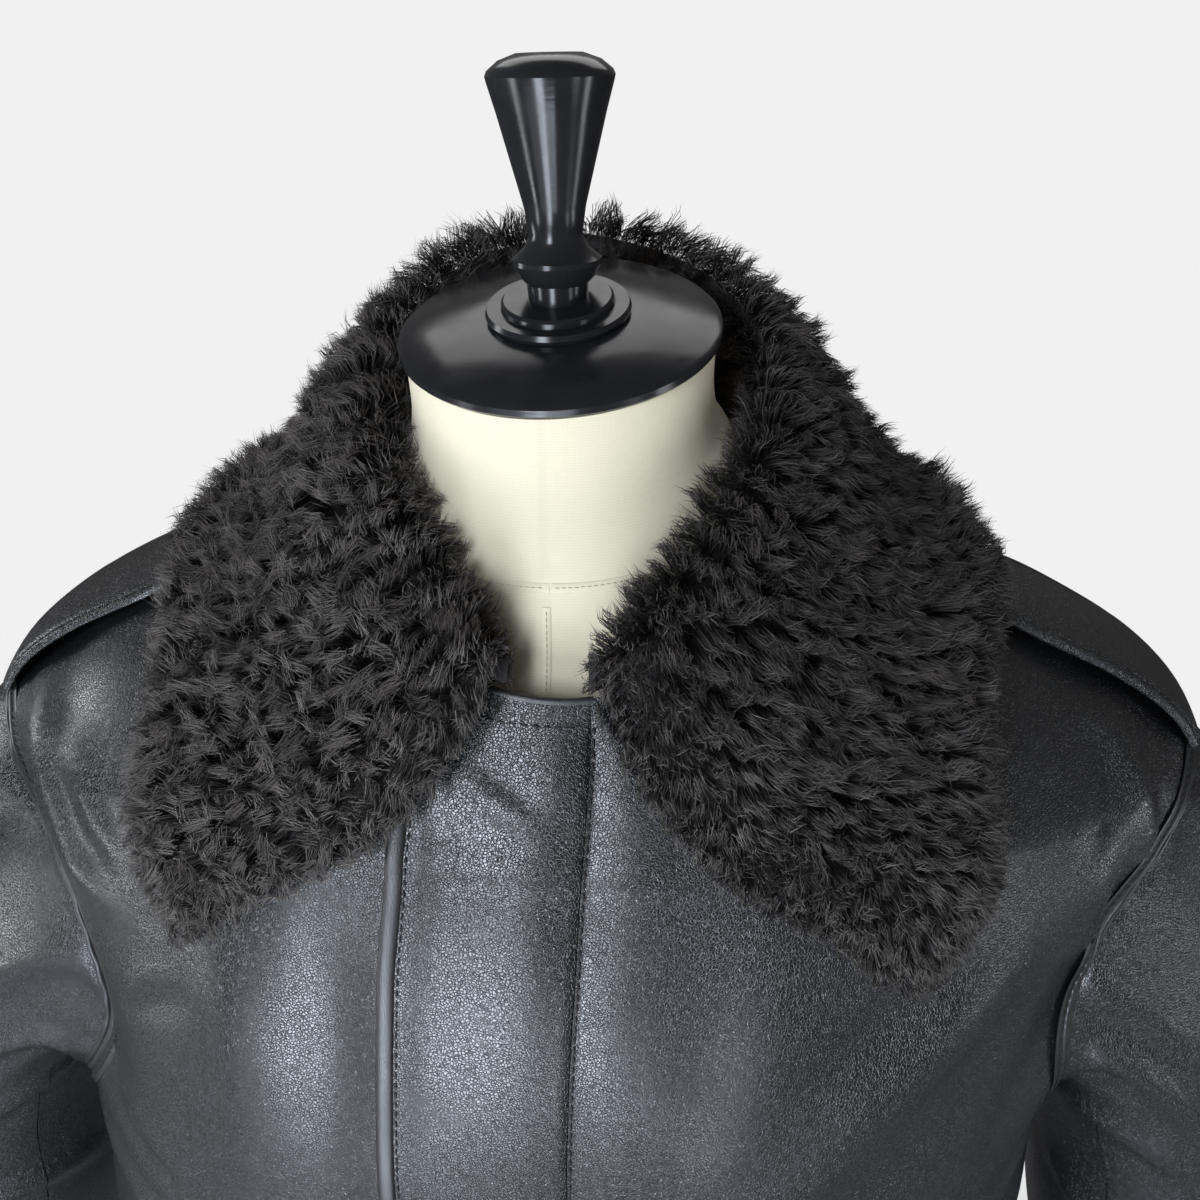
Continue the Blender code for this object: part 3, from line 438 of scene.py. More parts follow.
def leaf_section(leaf_rows, share, steps):
    """The pile's surface at one share of a leaf's length: from the neckline to its outer edge."""
    row = read_rows(leaf_rows, share)
    turn, top, out, mid_turn, mid_level, mid_lift, edge_turn, edge_level, lift = row
    up = np.array([0.0, 0.0, 1.0])
    foot = body_point(turn, 1.0)[0]
    flat = unit(np.array([foot[0] - JACKET_RINGS[-1].aside, foot[1], 0.0]))
    roll = np.minimum(ROLL_RADIUS, 0.5 * top)
    middle_of_roll = foot + up * (top - roll) + flat * out
    keys = [foot - up * 0.0002 - flat * 0.003]
    keys.append(middle_of_roll - roll * flat - 0.6 * roll * up)
    for angle in (170, 125, 80, 35):
        turned_out = math.cos(math.radians(angle)) * flat + math.sin(math.radians(angle)) * up
        keys.append(middle_of_roll + roll * turned_out)
    keys.append(body_point(mid_turn, mid_level, mid_lift + PILE_REACH)[0])
    halfway = (mid_turn + edge_turn) / 2, (mid_level + edge_level) / 2, (mid_lift + lift) / 2
    keys.append(body_point(halfway[0], halfway[1], halfway[2] + PILE_REACH + 0.001)[0])
    keys.append(body_point(edge_turn, edge_level, lift + PILE_REACH)[0])
    keys = np.array(keys)
    lengths = np.concatenate([[0], np.cumsum(np.linalg.norm(np.diff(keys, axis=0), axis=1))])
    table = np.column_stack([lengths / lengths[-1], keys])
    return np.stack(read_rows(table, steps), -1)


# ---------------------------------------------------------------- fine shape of the cloth
# A crease runs over three places; depth > 0 is a ridge with a hollow beside it.
Crease = namedtuple("Crease", "turn level mid_turn mid_level end_turn end_level width depth")
BODY_CREASES = (
    Crease(-78, 0.872, -60, 0.850, -49, 0.780, 0.0065, 0.0034),
    Crease(-58, 0.865, -48, 0.836, -42, 0.800, 0.0060, 0.0024),
    Crease(-50, 0.790, -47, 0.776, -43, 0.768, 0.0085, 0.0030),
    Crease(-43, 0.690, -39, 0.706, -34, 0.722, 0.0045, -0.0018),
    Crease(-50, 0.600, -43, 0.575, -36, 0.560, 0.0060, -0.0016),
    Crease(-62, 0.560, -50, 0.520, -38, 0.500, 0.0070, 0.0022),
    Crease(79, 0.890, 62, 0.860, 62, 0.790, 0.0070, 0.0034),
    Crease(63, 0.885, 54, 0.850, 51, 0.820, 0.0060, -0.0026),
    Crease(50, 0.826, 54, 0.760, 61, 0.690, 0.0070, 0.0022),
    Crease(42, 0.772, 35, 0.712, 27, 0.655, 0.0150, 0.0034),
    Crease(36, 0.790, 28, 0.735, 21, 0.690, 0.0120, -0.0022),
    Crease(30, 0.660, 22, 0.600, 16, 0.520, 0.0130, 0.0024),
    Crease(68, 0.570, 55, 0.530, 42, 0.515, 0.0070, 0.0024),
    Crease(76, 0.540, 62, 0.470, 50, 0.440, 0.0080, 0.0020),
    Crease(-78, 0.520, -64, 0.460, -52, 0.420, 0.0080, 0.0020),
    Crease(-12, 0.930, -6, 0.900, -2, 0.880, 0.0050, 0.0011),
    Crease(-30, 0.780, -27, 0.680, -28, 0.560, 0.0140, 0.0024),
    Crease(-21, 0.840, -19, 0.700, -22, 0.540, 0.0110, -0.0018),
    Crease(10, 0.860, 13, 0.740, 12, 0.600, 0.0110, -0.0012),
    Crease(-70, 0.300, -50, 0.240, -32, 0.230, 0.0080, 0.0024),
    Crease(-84, 0.190, -58, 0.130, -40, 0.140, 0.0070, 0.0022),
    Crease(-50, 0.060, -46, 0.100, -40, 0.170, 0.0060, 0.0016),
    Crease(72, 0.320, 52, 0.250, 35, 0.240, 0.0080, 0.0024),
    Crease(86, 0.180, 60, 0.120, 44, 0.130, 0.0070, 0.0022),
    Crease(46, 0.050, 42, 0.110, 37, 0.180, 0.0060, 0.0016),
    Crease(24, 0.030, 23, 0.080, 25, 0.150, 0.0055, 0.0013),
    Crease(-27, 0.030, -29, 0.070, -27, 0.140, 0.0055, 0.0013),
    Crease(112, 0.800, 118, 0.690, 132, 0.560, 0.0080, 0.0030),
    Crease(122, 0.790, 132, 0.700, 150, 0.620, 0.0090, 0.0022),
    Crease(-112, 0.800, -119, 0.680, -134, 0.550, 0.0080, 0.0030),
    Crease(-124, 0.780, -136, 0.700, -152, 0.640, 0.0090, 0.0020),
    Crease(100, 0.560, 122, 0.510, 150, 0.500, 0.0080, 0.0026),
    Crease(-99, 0.550, -120, 0.500, -146, 0.480, 0.0080, 0.0026),
    Crease(96, 0.340, 128, 0.270, 160, 0.280, 0.0090, 0.0028),
    Crease(-98, 0.330, -124, 0.250, -158, 0.240, 0.0090, 0.0028),
    Crease(104, 0.180, 132, 0.130, 165, 0.150, 0.0080, 0.0024),
    Crease(-102, 0.190, -136, 0.120, -166, 0.110, 0.0080, 0.0024),
    Crease(128, 0.040, 131, 0.080, 126, 0.150, 0.0060, 0.0016),
    Crease(-131, 0.040, -128, 0.090, -133, 0.160, 0.0060, 0.0016),
    Crease(168, 0.040, 171, 0.080, 168, 0.140, 0.0060, 0.0014),
    Crease(-160, 0.860, -172, 0.845, 172, 0.850, 0.0090, 0.0014),
)
# The same on a sleeve: phi and share of the arm's length.
LEFT_CREASES = (
    Crease(100, 0.020, 96, 0.090, 104, 0.180, 0.0065, 0.0026),
    Crease(150, 0.030, 150, 0.120, 138, 0.220, 0.0070, 0.0020),
    Crease(60, 0.050, 78, 0.140, 92, 0.240, 0.0060, 0.0030),
    Crease(15, 0.160, 50, 0.200, 90, 0.260, 0.0060, 0.0028),
    Crease(20, 0.330, 62, 0.360, 105, 0.340, 0.0065, 0.0026),
    Crease(30, 0.450, 75, 0.430, 130, 0.470, 0.0060, 0.0034),
    Crease(25, 0.520, 80, 0.500, 140, 0.530, 0.0055, 0.0036),
    Crease(40, 0.570, 95, 0.580, 150, 0.550, 0.0055, 0.0032),
    Crease(20, 0.640, 70, 0.620, 118, 0.650, 0.0060, 0.0028),
    Crease(70, 0.710, 130, 0.690, 190, 0.720, 0.0065, 0.0026),
    Crease(60, 0.790, 120, 0.800, 180, 0.780, 0.0060, 0.0026),
    Crease(90, 0.850, 160, 0.860, 230, 0.845, 0.0055, 0.0026),
    Crease(210, 0.080, 240, 0.160, 280, 0.220, 0.0070, 0.0026),
    Crease(200, 0.480, 250, 0.510, 310, 0.480, 0.0065, 0.0024),
    Crease(230, 0.600, 280, 0.580, 330, 0.610, 0.0065, 0.0024),
    Crease(250, 0.760, 300, 0.740, 345, 0.770, 0.0060, 0.0024),
    Crease(250, 0.850, 300, 0.840, 350, 0.855, 0.0055, 0.0022),
)
RIGHT_CREASES = (
    Crease(92, 0.025, 100, 0.100, 98, 0.190, 0.0065, 0.0028),
    Crease(140, 0.030, 146, 0.130, 130, 0.240, 0.0070, 0.0022),
    Crease(55, 0.060, 70, 0.130, 96, 0.220, 0.0060, 0.0028),
    Crease(18, 0.190, 56, 0.230, 98, 0.290, 0.0060, 0.0026),
    Crease(24, 0.370, 66, 0.350, 112, 0.380, 0.0065, 0.0028),
    Crease(28, 0.470, 80, 0.460, 126, 0.440, 0.0060, 0.0034),
    Crease(22, 0.530, 76, 0.520, 146, 0.500, 0.0055, 0.0034),
    Crease(35, 0.600, 90, 0.590, 144, 0.610, 0.0055, 0.0034),
    Crease(30, 0.670, 84, 0.680, 130, 0.660, 0.0060, 0.0026),
    Crease(75, 0.740, 134, 0.750, 196, 0.730, 0.0065, 0.0026),
    Crease(62, 0.820, 124, 0.810, 186, 0.830, 0.0060, 0.0026),
    Crease(205, 0.090, 236, 0.150, 284, 0.200, 0.0070, 0.0024),
    Crease(205, 0.500, 252, 0.490, 305, 0.510, 0.0065, 0.0024),
    Crease(235, 0.620, 284, 0.610, 335, 0.590, 0.0065, 0.0024),
    Crease(240, 0.850, 300, 0.860, 352, 0.845, 0.0055, 0.0024),
)


def crease_height(creases, across, along, metres_across, metres_along):
    """The fine creases' relief at each place."""
    height = np.zeros(np.broadcast(across, along).shape)
    x, y = across * metres_across, along * metres_along
    scale = np.array([metres_across, metres_along])
    for crease in creases:
        start = np.array([crease.turn, crease.level]) * scale
        middle = np.array([crease.mid_turn, crease.mid_level]) * scale
        end = np.array([crease.end_turn, crease.end_level]) * scale
        bend = 2 * middle - (start + end) / 2
        near = np.full(height.shape, 1e9)
        side = np.zeros(height.shape)
        place = np.zeros(height.shape)
        steps = np.linspace(0, 1, 13)
        path = [(1 - s) ** 2 * start + 2 * s * (1 - s) * bend + s**2 * end for s in steps]
        for k in range(12):
            run = path[k + 1] - path[k]
            ahead = (x - path[k][0]) * run[0] + (y - path[k][1]) * run[1]
            share = np.clip(ahead / (run @ run), 0, 1)
            dx = x - path[k][0] - share * run[0]
            dy = y - path[k][1] - share * run[1]
            away = np.hypot(dx, dy)
            closer = away < near
            near = np.where(closer, away, near)
            signed = (run[0] * dy - run[1] * dx) / np.hypot(*run)
            side = np.where(closer, signed, side)
            place = np.where(closer, (k + share) / 12, place)
        across_it = np.sign(side) * near / crease.width
        taper = np.sin(math.pi * np.clip(0.04 + 0.92 * place, 0, 1)) ** 0.7
        bump = np.exp(-(across_it**2)) - 0.45 * np.exp(-((across_it - 1.7) ** 2) / 1.3)
        height = height + crease.depth * taper * bump
    return height


def undulation(x, y, z, size):
    """Slow, uneven waves of soft leather, in metres."""
    return size * (
        0.40 * np.sin(31 * x + 17 * z + 1.3)
        + 0.30 * np.sin(-23 * x + 37 * z + 2.1 * np.sin(19 * y))
        + 0.22 * np.sin(61 * x - 29 * z + 0.7)
        + 0.16 * np.sin(47 * z + 53 * y + 1.9 * np.sin(27 * x))
        + 0.10 * np.sin(97 * x + 71 * z + 1.1)
    )


def seam_pull(turn, level):
    """How far the placket's seam draws the cloth in beside it, in metres."""
    away = (turn - turn_at_x(PLACKET_SEAM_X, level)) * METRES_PER_FRONT_DEGREE
    groove = 0.0009 * np.exp(-((away / 0.0014) ** 2))
    return SEAM_PULL * np.exp(-((away / SEAM_PULL_WIDTH) ** 2)) + groove


def body_skin(turn, level, lift=0.0):
    """The jacket's outer surface with its fine creases, and its normal."""
    turn, level = np.broadcast_arrays(np.asarray(turn, float), np.asarray(level, float))
    place, normal = body_point(turn, level)
    wrapped = (turn + 180.0) % 360.0 - 180.0
    relief = crease_height(BODY_CREASES, wrapped, level, METRES_PER_DEGREE, METRES_PER_LEVEL)
    relief = relief + undulation(place[..., 0], place[..., 1], place[..., 2], 0.0015)
    relief = relief - seam_pull(wrapped, level)
    calm = smooth_step(level / 0.05) * smooth_step((1.0 - level) / 0.06)
    return place + (relief * calm + lift)[..., None] * normal, normal


def body_grid(turns, levels, lift=0.0):
    """Surface points and true normals of a grid on the body, rows by columns."""
    outer, rough_normal = body_skin(turns, levels, lift)
    normal = grid_normals(outer)
    flipped = (normal * rough_normal).sum(-1, keepdims=True) < 0
    return outer, np.where(flipped, -normal, normal)


# ---------------------------------------------------------------- meshes
def put_mesh(name, points, faces, material, uv=None, smooth=True):
    """A mesh object from arrays of points and of faces that all have as many corners."""
    points = np.ascontiguousarray(points, dtype=np.float32).reshape(-1, 3)
    faces = np.ascontiguousarray(faces, dtype=np.int32)
    corners = faces.shape[1]
    mesh = bpy.data.meshes.new(name)
    mesh.vertices.add(len(points))
    mesh.vertices.foreach_set("co", points.ravel())
    mesh.loops.add(faces.size)
    mesh.loops.foreach_set("vertex_index", faces.ravel())
    mesh.polygons.add(len(faces))
    mesh.polygons.foreach_set("loop_start", np.arange(0, faces.size, corners, dtype=np.int32))
    mesh.update(calc_edges=True)
    if uv is not None:
        layer = mesh.uv_layers.new(name="OFBake")
        layer.data.foreach_set("uv", np.asarray(uv, np.float32)[faces.ravel()].ravel())
    mesh.polygons.foreach_set("use_smooth", np.full(len(faces), smooth))
    mesh.materials.append(material)
    mesh.validate()
    made = bpy.data.objects.new(name, mesh)
    bpy.context.scene.collection.objects.link(made)
    return made


def finish_piece(made, slot, *nodes):
    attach(made, "root")
    if nodes:
        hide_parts(*nodes)
    return made


def grid_faces(rows, columns, closed=False, start=0):
    """Quads of a grid whose rows run up and whose columns run left to right, seen from outside."""
    r, c = np.meshgrid(np.arange(rows - 1), np.arange(columns if closed else columns - 1))
    r, c = r.ravel(), c.ravel()
    after = (c + 1) % columns
    quads = [r * columns + c, r * columns + after, (r + 1) * columns + after, (r + 1) * columns + c]
    return np.stack(quads, axis=1) + start


def rim_faces(line, other, closed=False):
    """Quads between two lines of point numbers."""
    line, other = np.asarray(line), np.asarray(other)
    if closed:
        line, other = np.append(line, line[0]), np.append(other, other[0])
    return np.stack([line[1:], line[:-1], other[:-1], other[1:]], axis=1)


def shell(name, outer, inner, material, closed=False):
    """A closed wall between two grids, with a UV map in metres along the cloth."""
    rows, columns = outer.shape[:2]
    count = rows * columns
    index = np.arange(count).reshape(rows, columns)
    under = index + count
    front = grid_faces(rows, columns, closed)
    faces = [front, front[:, ::-1] + count]
    faces.append(rim_faces(index[0], under[0], closed))
    faces.append(rim_faces(index[-1], under[-1], closed)[:, ::-1])
    if not closed:
        faces.append(rim_faces(index[:, 0], under[:, 0])[:, ::-1])
        faces.append(rim_faces(index[:, -1], under[:, -1]))
    across = np.linalg.norm(np.diff(outer, axis=1, prepend=outer[:, :1]), axis=2).cumsum(axis=1)
    along = np.linalg.norm(np.diff(outer, axis=0, prepend=outer[:1]), axis=2).cumsum(axis=0)
    uv = np.stack([across.ravel(), along.ravel()], axis=1)
    points = np.concatenate([outer.reshape(-1, 3), inner.reshape(-1, 3)])
    made = put_mesh(name, points, np.concatenate(faces), material, np.concatenate([uv, uv]))
    made.data.set_sharp_from_angle(angle=math.radians(60))
    return made


def bead(path, normal, half_width, height, sunk=0.0006, around=9):
    """Points and faces of a rounded welt that follows a path on a surface, closed at its ends."""
    run = unit(np.gradient(path, axis=0))
    across = unit(np.cross(normal, run))
    angles = np.linspace(0, math.pi, around)
    half_width = np.broadcast_to(half_width, len(path))[:, None, None]
    height = np.broadcast_to(height, len(path))[:, None, None]
    ring = path[:, None] - half_width * np.cos(angles)[None, :, None] * across[:, None]
    ring = ring + (height * np.sin(angles)[None, :, None] - sunk) * normal[:, None]
    count = len(path)
    index = np.arange(count * around).reshape(count, around)
    sides = []
    for k in range(around):
        after = (k + 1) % around
        sides.append(np.stack([index[:-1, k], index[:-1, after], index[1:, after], index[1:, k]], 1))
    points = ring.reshape(-1, 3)
    faces = np.concatenate(sides)
    ends = []
    for row, order in ((index[0], 1), (index[-1], -1)):
        fan = np.stack([np.full(around - 2, row[0]), row[1:-1], row[2:], row[2:]], axis=1)
        ends.append(fan[:, [0, 2, 1, 1]] if order > 0 else fan)
    return points, faces, np.concatenate(ends)


def joined_beads(name, beads, material):
    """One object from many welts."""
    points, quads, triangles, start = [], [], [], 0
    for place, faces, ends in beads:
        points.append(place)
        quads.append(faces + start)
        triangles.append(ends[:, :3] + start)
        start += len(place)
    split = np.concatenate(quads)
    split = np.concatenate([split[:, [0, 1, 2]], split[:, [0, 2, 3]], *triangles])
    made = put_mesh(name, np.concatenate(points), split, material)
    made.data.set_sharp_from_angle(angle=math.radians(60))
    turn_outwards(made)
    return made


def turn_outwards(made):
    work = bmesh.new()
    work.from_mesh(made.data)
    bmesh.ops.recalc_face_normals(work, faces=work.faces)
    work.to_mesh(made.data)
    work.free()


# Rings of one stitch: place along it, width and lift, as shares of its length and thickness.
STITCH_RINGS = (
    (-0.50, 0.25, 0.0),
    (-0.32, 0.85, 0.55),
    (0.0, 1.0, 1.0),
    (0.32, 0.85, 0.55),
    (0.50, 0.25, 0.0),
)


def stitches(path, normal, pitch, length, thick):
    """Points and faces of a row of thread stitches along a path on a surface."""
    steps = np.linalg.norm(np.diff(path, axis=0), axis=1)
    run_length = np.concatenate([[0], np.cumsum(steps)])
    places = np.arange(pitch, run_length[-1] - pitch / 2, pitch)
    if len(places) == 0:
        return np.zeros((0, 3)), np.zeros((0, 4), int)
    read = [np.interp(places, run_length, path[:, k]) for k in range(3)]
    middle = np.stack(read, 1)
    up = unit(np.stack([np.interp(places, run_length, normal[:, k]) for k in range(3)], 1))
    ahead = np.stack([np.interp(places + 0.001, run_length, path[:, k]) for k in range(3)], 1)
    behind = np.stack([np.interp(places - 0.001, run_length, path[:, k]) for k in range(3)], 1)
    run = unit(ahead - behind)
    across = unit(np.cross(up, run))
    points = []
    for share, width, lift in STITCH_RINGS:
        centre = middle + share * length * run + (lift * 0.45 - 0.1) * thick * up
        for a, b in ((1, 0), (0, 1), (-1, 0), (0, -1)):
            points.append(centre + width * thick / 2 * (a * across + b * up))
    points = np.stack(points, axis=1)
    each = points.shape[1]
    faces = []
    for ring in range(len(STITCH_RINGS) - 1):
        for k in range(4):
            after = (k + 1) % 4
            low, high = ring * 4, ring * 4 + 4
            faces.append([low + k, low + after, high + after, high + k])
    last = each - 4
    faces.append([3, 2, 1, 0])
    faces.append([last, last + 1, last + 2, last + 3])
    faces = np.array(faces)[None] + (np.arange(len(places)) * each)[:, None, None]
    return points.reshape(-1, 3), faces.reshape(-1, 4)


def stitched(name, rows, material):
    """One object from many rows of stitches."""
    points, faces, start = [], [], 0
    for place, quads in rows:
        if len(place):
            points.append(place)
            faces.append(quads + start)
            start += len(place)
    made = put_mesh(name, np.concatenate(points), np.concatenate(faces), material)
    turn_outwards(made)
    return made


# ---------------------------------------------------------------- materials
def socket(tree, name, way, kind, default=None, low=None, high=None):
    made = tree.interface.new_socket(name=name, in_out=way, socket_type=kind)
    if default is not None:
        made.default_value = default
    if low is not None:
        made.min_value, made.max_value = low, high


def new_group(name, inputs, outputs):
    """An empty node group with named float or colour sockets."""
    old = bpy.data.node_groups.get(name)
    if old:
        return old, None, None, None
    tree = bpy.data.node_groups.new(name, "ShaderNodeTree")
    for label, kind, value in inputs:
        socket(tree, label, "INPUT", kind, value)
    for label, kind in outputs:
        socket(tree, label, "OUTPUT", kind)
    entry = tree.nodes.new("NodeGroupInput")
    leave = tree.nodes.new("NodeGroupOutput")
    entry.location, leave.location = (-900, 0), (700, 0)
    return tree, entry, leave, lambda kind, x, y, **kw: add_node(tree, kind, x, y, **kw)


def add_node(tree, kind, x, y, **settings):
    node = tree.nodes.new(kind)
    node.location = (x, y)
    for key, value in settings.items():
        if key in node.inputs:
            node.inputs[key].default_value = value
        else:
            setattr(node, key, value)
    return node


def maths(tree, operation, x, y, a=None, b=None, clamp=False):
    node = add_node(tree, "ShaderNodeMath", x, y, operation=operation, use_clamp=clamp)
    for k, value in ((0, a), (1, b)):
        if value is None:
            continue
        if isinstance(value, (int, float)):
            node.inputs[k].default_value = value
        else:
            tree.links.new(value, node.inputs[k])
    return node.outputs[0]


def mapped(tree, value, x, y, limits, smooth=False):
    """A value brought from one range to another; limits are named sockets of the node."""
    kind = "SMOOTHSTEP" if smooth else "LINEAR"
    node = add_node(tree, "ShaderNodeMapRange", x, y, interpolation_type=kind)
    tree.links.new(value, node.inputs["Value"])
    for key, limit in limits:
        node.inputs[key].default_value = limit
    return node.outputs[0]


def weighed(tree, x, y, one, its_weight, other, other_weight, clamp=False):
    """The sum of two values, each by its own weight."""
    first = maths(tree, "MULTIPLY", x - 140, y, one, its_weight)
    second = maths(tree, "MULTIPLY", x - 140, y - 160, other, other_weight)
    return maths(tree, "ADD", x, y, first, second, clamp=clamp)


def raise_surface(tree, shader, height, x, y, strength, distance):
    """Small relief on a material's surface."""
    bump = add_node(tree, "ShaderNodeBump", x, y, Strength=strength, Distance=distance)
    tree.links.new(height, bump.inputs["Height"])
    tree.links.new(bump.outputs[0], shader.inputs["Normal"])


def pebbled_grain():
    """Leather grain: small pebbles of uneven size parted by fine valleys, stronger in patches."""
    tree, entry, leave, add = new_group(
        "Pebbled grain",
        (("Pebble Size", "NodeSocketFloat", 0.0013), ("Patchiness", "NodeSocketFloat", 0.6)),
        (("Height", "NodeSocketFloat"), ("Valleys", "NodeSocketFloat")),
    )
    if entry is None:
        return tree
    link = tree.links.new
    place = add("ShaderNodeTexCoord", -900, -250)
    per_metre = maths(tree, "DIVIDE", -700, 120, 1.0, entry.outputs["Pebble Size"])
    warp = add("ShaderNodeTexNoise", -700, -250, Scale=260.0, Detail=2.0)
    link(place.outputs["Object"], warp.inputs["Vector"])
    bent = add("ShaderNodeMix", -500, -250, data_type="VECTOR")
    bent.blend_type = "MIX"
    bent.inputs["Factor"].default_value = 0.0022
    link(place.outputs["Object"], bent.inputs[4])
    link(warp.outputs["Color"], bent.inputs[5])
    cells = add("ShaderNodeTexVoronoi", -300, 100, feature="DISTANCE_TO_EDGE", Randomness=1.0)
    link(bent.outputs[1], cells.inputs["Vector"])
    link(per_metre, cells.inputs["Scale"])
    fine = add("ShaderNodeTexVoronoi", -300, -200, feature="DISTANCE_TO_EDGE", Randomness=1.0)
    link(bent.outputs[1], fine.inputs["Vector"])
    link(maths(tree, "MULTIPLY", -480, -60, per_metre, 2.3), fine.inputs["Scale"])
    patch = add("ShaderNodeTexNoise", -300, -480, Scale=22.0, Detail=3.0, Roughness=0.6)
    link(place.outputs["Object"], patch.inputs["Vector"])
    limits = (("From Min", 0.35), ("From Max", 0.68))
    soft = mapped(tree, patch.outputs["Fac"], -80, -480, limits)
    pebbles = mapped(tree, cells.outputs["Distance"], -80, 100, (("From Max", 0.17),), smooth=True)
    small = mapped(tree, fine.outputs["Distance"], -80, -200, (("From Max", 0.34),), smooth=True)
    mixed = maths(tree, "ADD", 140, 0, pebbles, maths(tree, "MULTIPLY", 60, -160, small, 0.14))
    weight = maths(tree, "MULTIPLY", 140, -320, soft, entry.outputs["Patchiness"])
    base = maths(tree, "SUBTRACT", 240, -200, 1.0, entry.outputs["Patchiness"])
    strength = maths(tree, "ADD", 340, -260, weight, base)
    link(maths(tree, "SUBTRACT", 500, -100, 1.0, pebbles), leave.inputs["Valleys"])
    swell = add("ShaderNodeTexNoise", -300, 420, Detail=2.0, Roughness=0.6)
    link(place.outputs["Object"], swell.inputs["Vector"])
    link(maths(tree, "MULTIPLY", -480, 420, per_metre, 0.55), swell.inputs["Scale"])
    swollen = maths(tree, "MULTIPLY", -80, 420, swell.outputs["Fac"], 0.9)
    raised = maths(tree, "ADD", 420, 140, mixed, swollen)
    link(maths(tree, "MULTIPLY", 560, 40, raised, strength), leave.inputs["Height"])
    return tree


def mottle_group():
    """A slow mottling of colour and gloss, with a finer speckle over it."""
    tree, entry, leave, add = new_group(
        "Mottle",
        (("Spot Size", "NodeSocketFloat", 0.03), ("Speckle Size", "NodeSocketFloat", 0.002)),
        (("Mottle", "NodeSocketFloat"), ("Speckle", "NodeSocketFloat")),
    )
    if entry is None:
        return tree
    link = tree.links.new
    place = add("ShaderNodeTexCoord", -900, -200)
    for label, output, y in (("Spot Size", "Mottle", 100), ("Speckle Size", "Speckle", -200)):
        scale = maths(tree, "DIVIDE", -650, y, 1.0, entry.outputs[label])
        noise = add("ShaderNodeTexNoise", -400, y, Detail=4.0, Roughness=0.55)
        link(place.outputs["Object"], noise.inputs["Vector"])
        link(scale, noise.inputs["Scale"])
        link(noise.outputs["Fac"], leave.inputs[output])
    return tree


def new_material(name, base, roughness, **sockets):
    made = bpy.data.materials.new(name)
    made.use_nodes = True
    shader = made.node_tree.nodes["Principled BSDF"]
    shader.inputs["Base Color"].default_value = (*base, 1.0)
    shader.inputs["Roughness"].default_value = roughness
    for key, value in sockets.items():
        shader.inputs[key.replace("_", " ")].default_value = value
    return made, made.node_tree, shader


def times(colour, factor):
    return tuple(part * factor for part in colour)


def colour_between(tree, factor, x, y, low, high):
    mix = add_node(tree, "ShaderNodeMix", x, y, data_type="RGBA")
    mix.inputs[6].default_value = (*low, 1.0)
    mix.inputs[7].default_value = (*high, 1.0)
    tree.links.new(factor, mix.inputs["Factor"])
    return mix.outputs[2]


def group_node(tree, group, x, y, **values):
    node = add_node(tree, "ShaderNodeGroup", x, y)
    node.node_tree = group
    for key, value in values.items():
        node.inputs[key.replace("_", " ")].default_value = value
    return node


def leather_material(name, base, pebble, bump, roughness):
    made, tree, shader = new_material(name, base, roughness, Specular_IOR_Level=0.75)
    link = tree.links.new
    grain = group_node(tree, pebbled_grain(), -800, 0, Pebble_Size=pebble, Patchiness=0.35)
    mottle = group_node(tree, mottle_group(), -800, -300, Spot_Size=0.05, Speckle_Size=0.0022)
    lighter, valley_shade = times(base, 1.8), times(base, 0.55)
    speckle, slow = mottle.outputs["Speckle"], mottle.outputs["Mottle"]
    tone = weighed(tree, -560, -220, speckle, 0.5, slow, 0.6, clamp=True)
    light = colour_between(tree, tone, -400, 0, base, lighter)
    # Painted shade: the grain's valleys are painted darker, down to 0.55 of the base colour, in place of
    # the shade that falls in the cracks.
    valleys = add_node(tree, "ShaderNodeMix", -200, 60, data_type="RGBA")
    valleys.inputs[7].default_value = (*valley_shade, 1.0)
    link(light, valleys.inputs[6])
    link(maths(tree, "MULTIPLY", -400, 160, grain.outputs["Valleys"], 0.7), valleys.inputs["Factor"])
    link(valleys.outputs[2], shader.inputs["Base Color"])
    limits = (("From Min", 0.3), ("From Max", 0.7))
    limits += (("To Min", roughness - 0.05), ("To Max", roughness + 0.07))
    gloss = mapped(tree, slow, -200, -200, limits)
    duller = maths(tree, "MULTIPLY", -200, -400, grain.outputs["Valleys"], 0.08)
    link(maths(tree, "ADD", 0, -220, gloss, duller), shader.inputs["Roughness"])
    raise_surface(tree, shader, grain.outputs["Height"], -100, -520, bump, 0.00013)
    return made


def pile_material(name, dark, light):
    """Sheepskin pile: u of its UV map is the lock's tone, random per lock with painted light that makes
    the right leaf lighter, v runs from the root to the tip.
    """
    made, tree, shader = new_material(name, dark, 0.62, Specular_IOR_Level=0.28)
    link = tree.links.new
    uv = add_node(tree, "ShaderNodeUVMap", -900, 0, uv_map="OFBake")
    split = add_node(tree, "ShaderNodeSeparateXYZ", -720, 0)
    link(uv.outputs[0], split.inputs[0])
    ramp = add_node(tree, "ShaderNodeValToRGB", -520, 100)
    stops = ramp.color_ramp.elements
    stops[0].color = (*(c * 0.22 for c in dark), 1.0)
    stops[1].position = 1.0
    stops[1].color = (*light, 1.0)
    middle = stops.new(0.55)
    middle.color = (*dark, 1.0)
    link(split.outputs["Y"], ramp.inputs["Fac"])
    tone = mapped(tree, split.outputs["X"], -520, -200, (("To Min", 0.55), ("To Max", 1.5)))
    scaled = add_node(tree, "ShaderNodeVectorMath", -250, 50, operation="SCALE")
    link(ramp.outputs[0], scaled.inputs[0])
    link(tone, scaled.inputs["Scale"])
    link(scaled.outputs[0], shader.inputs["Base Color"])
    return made


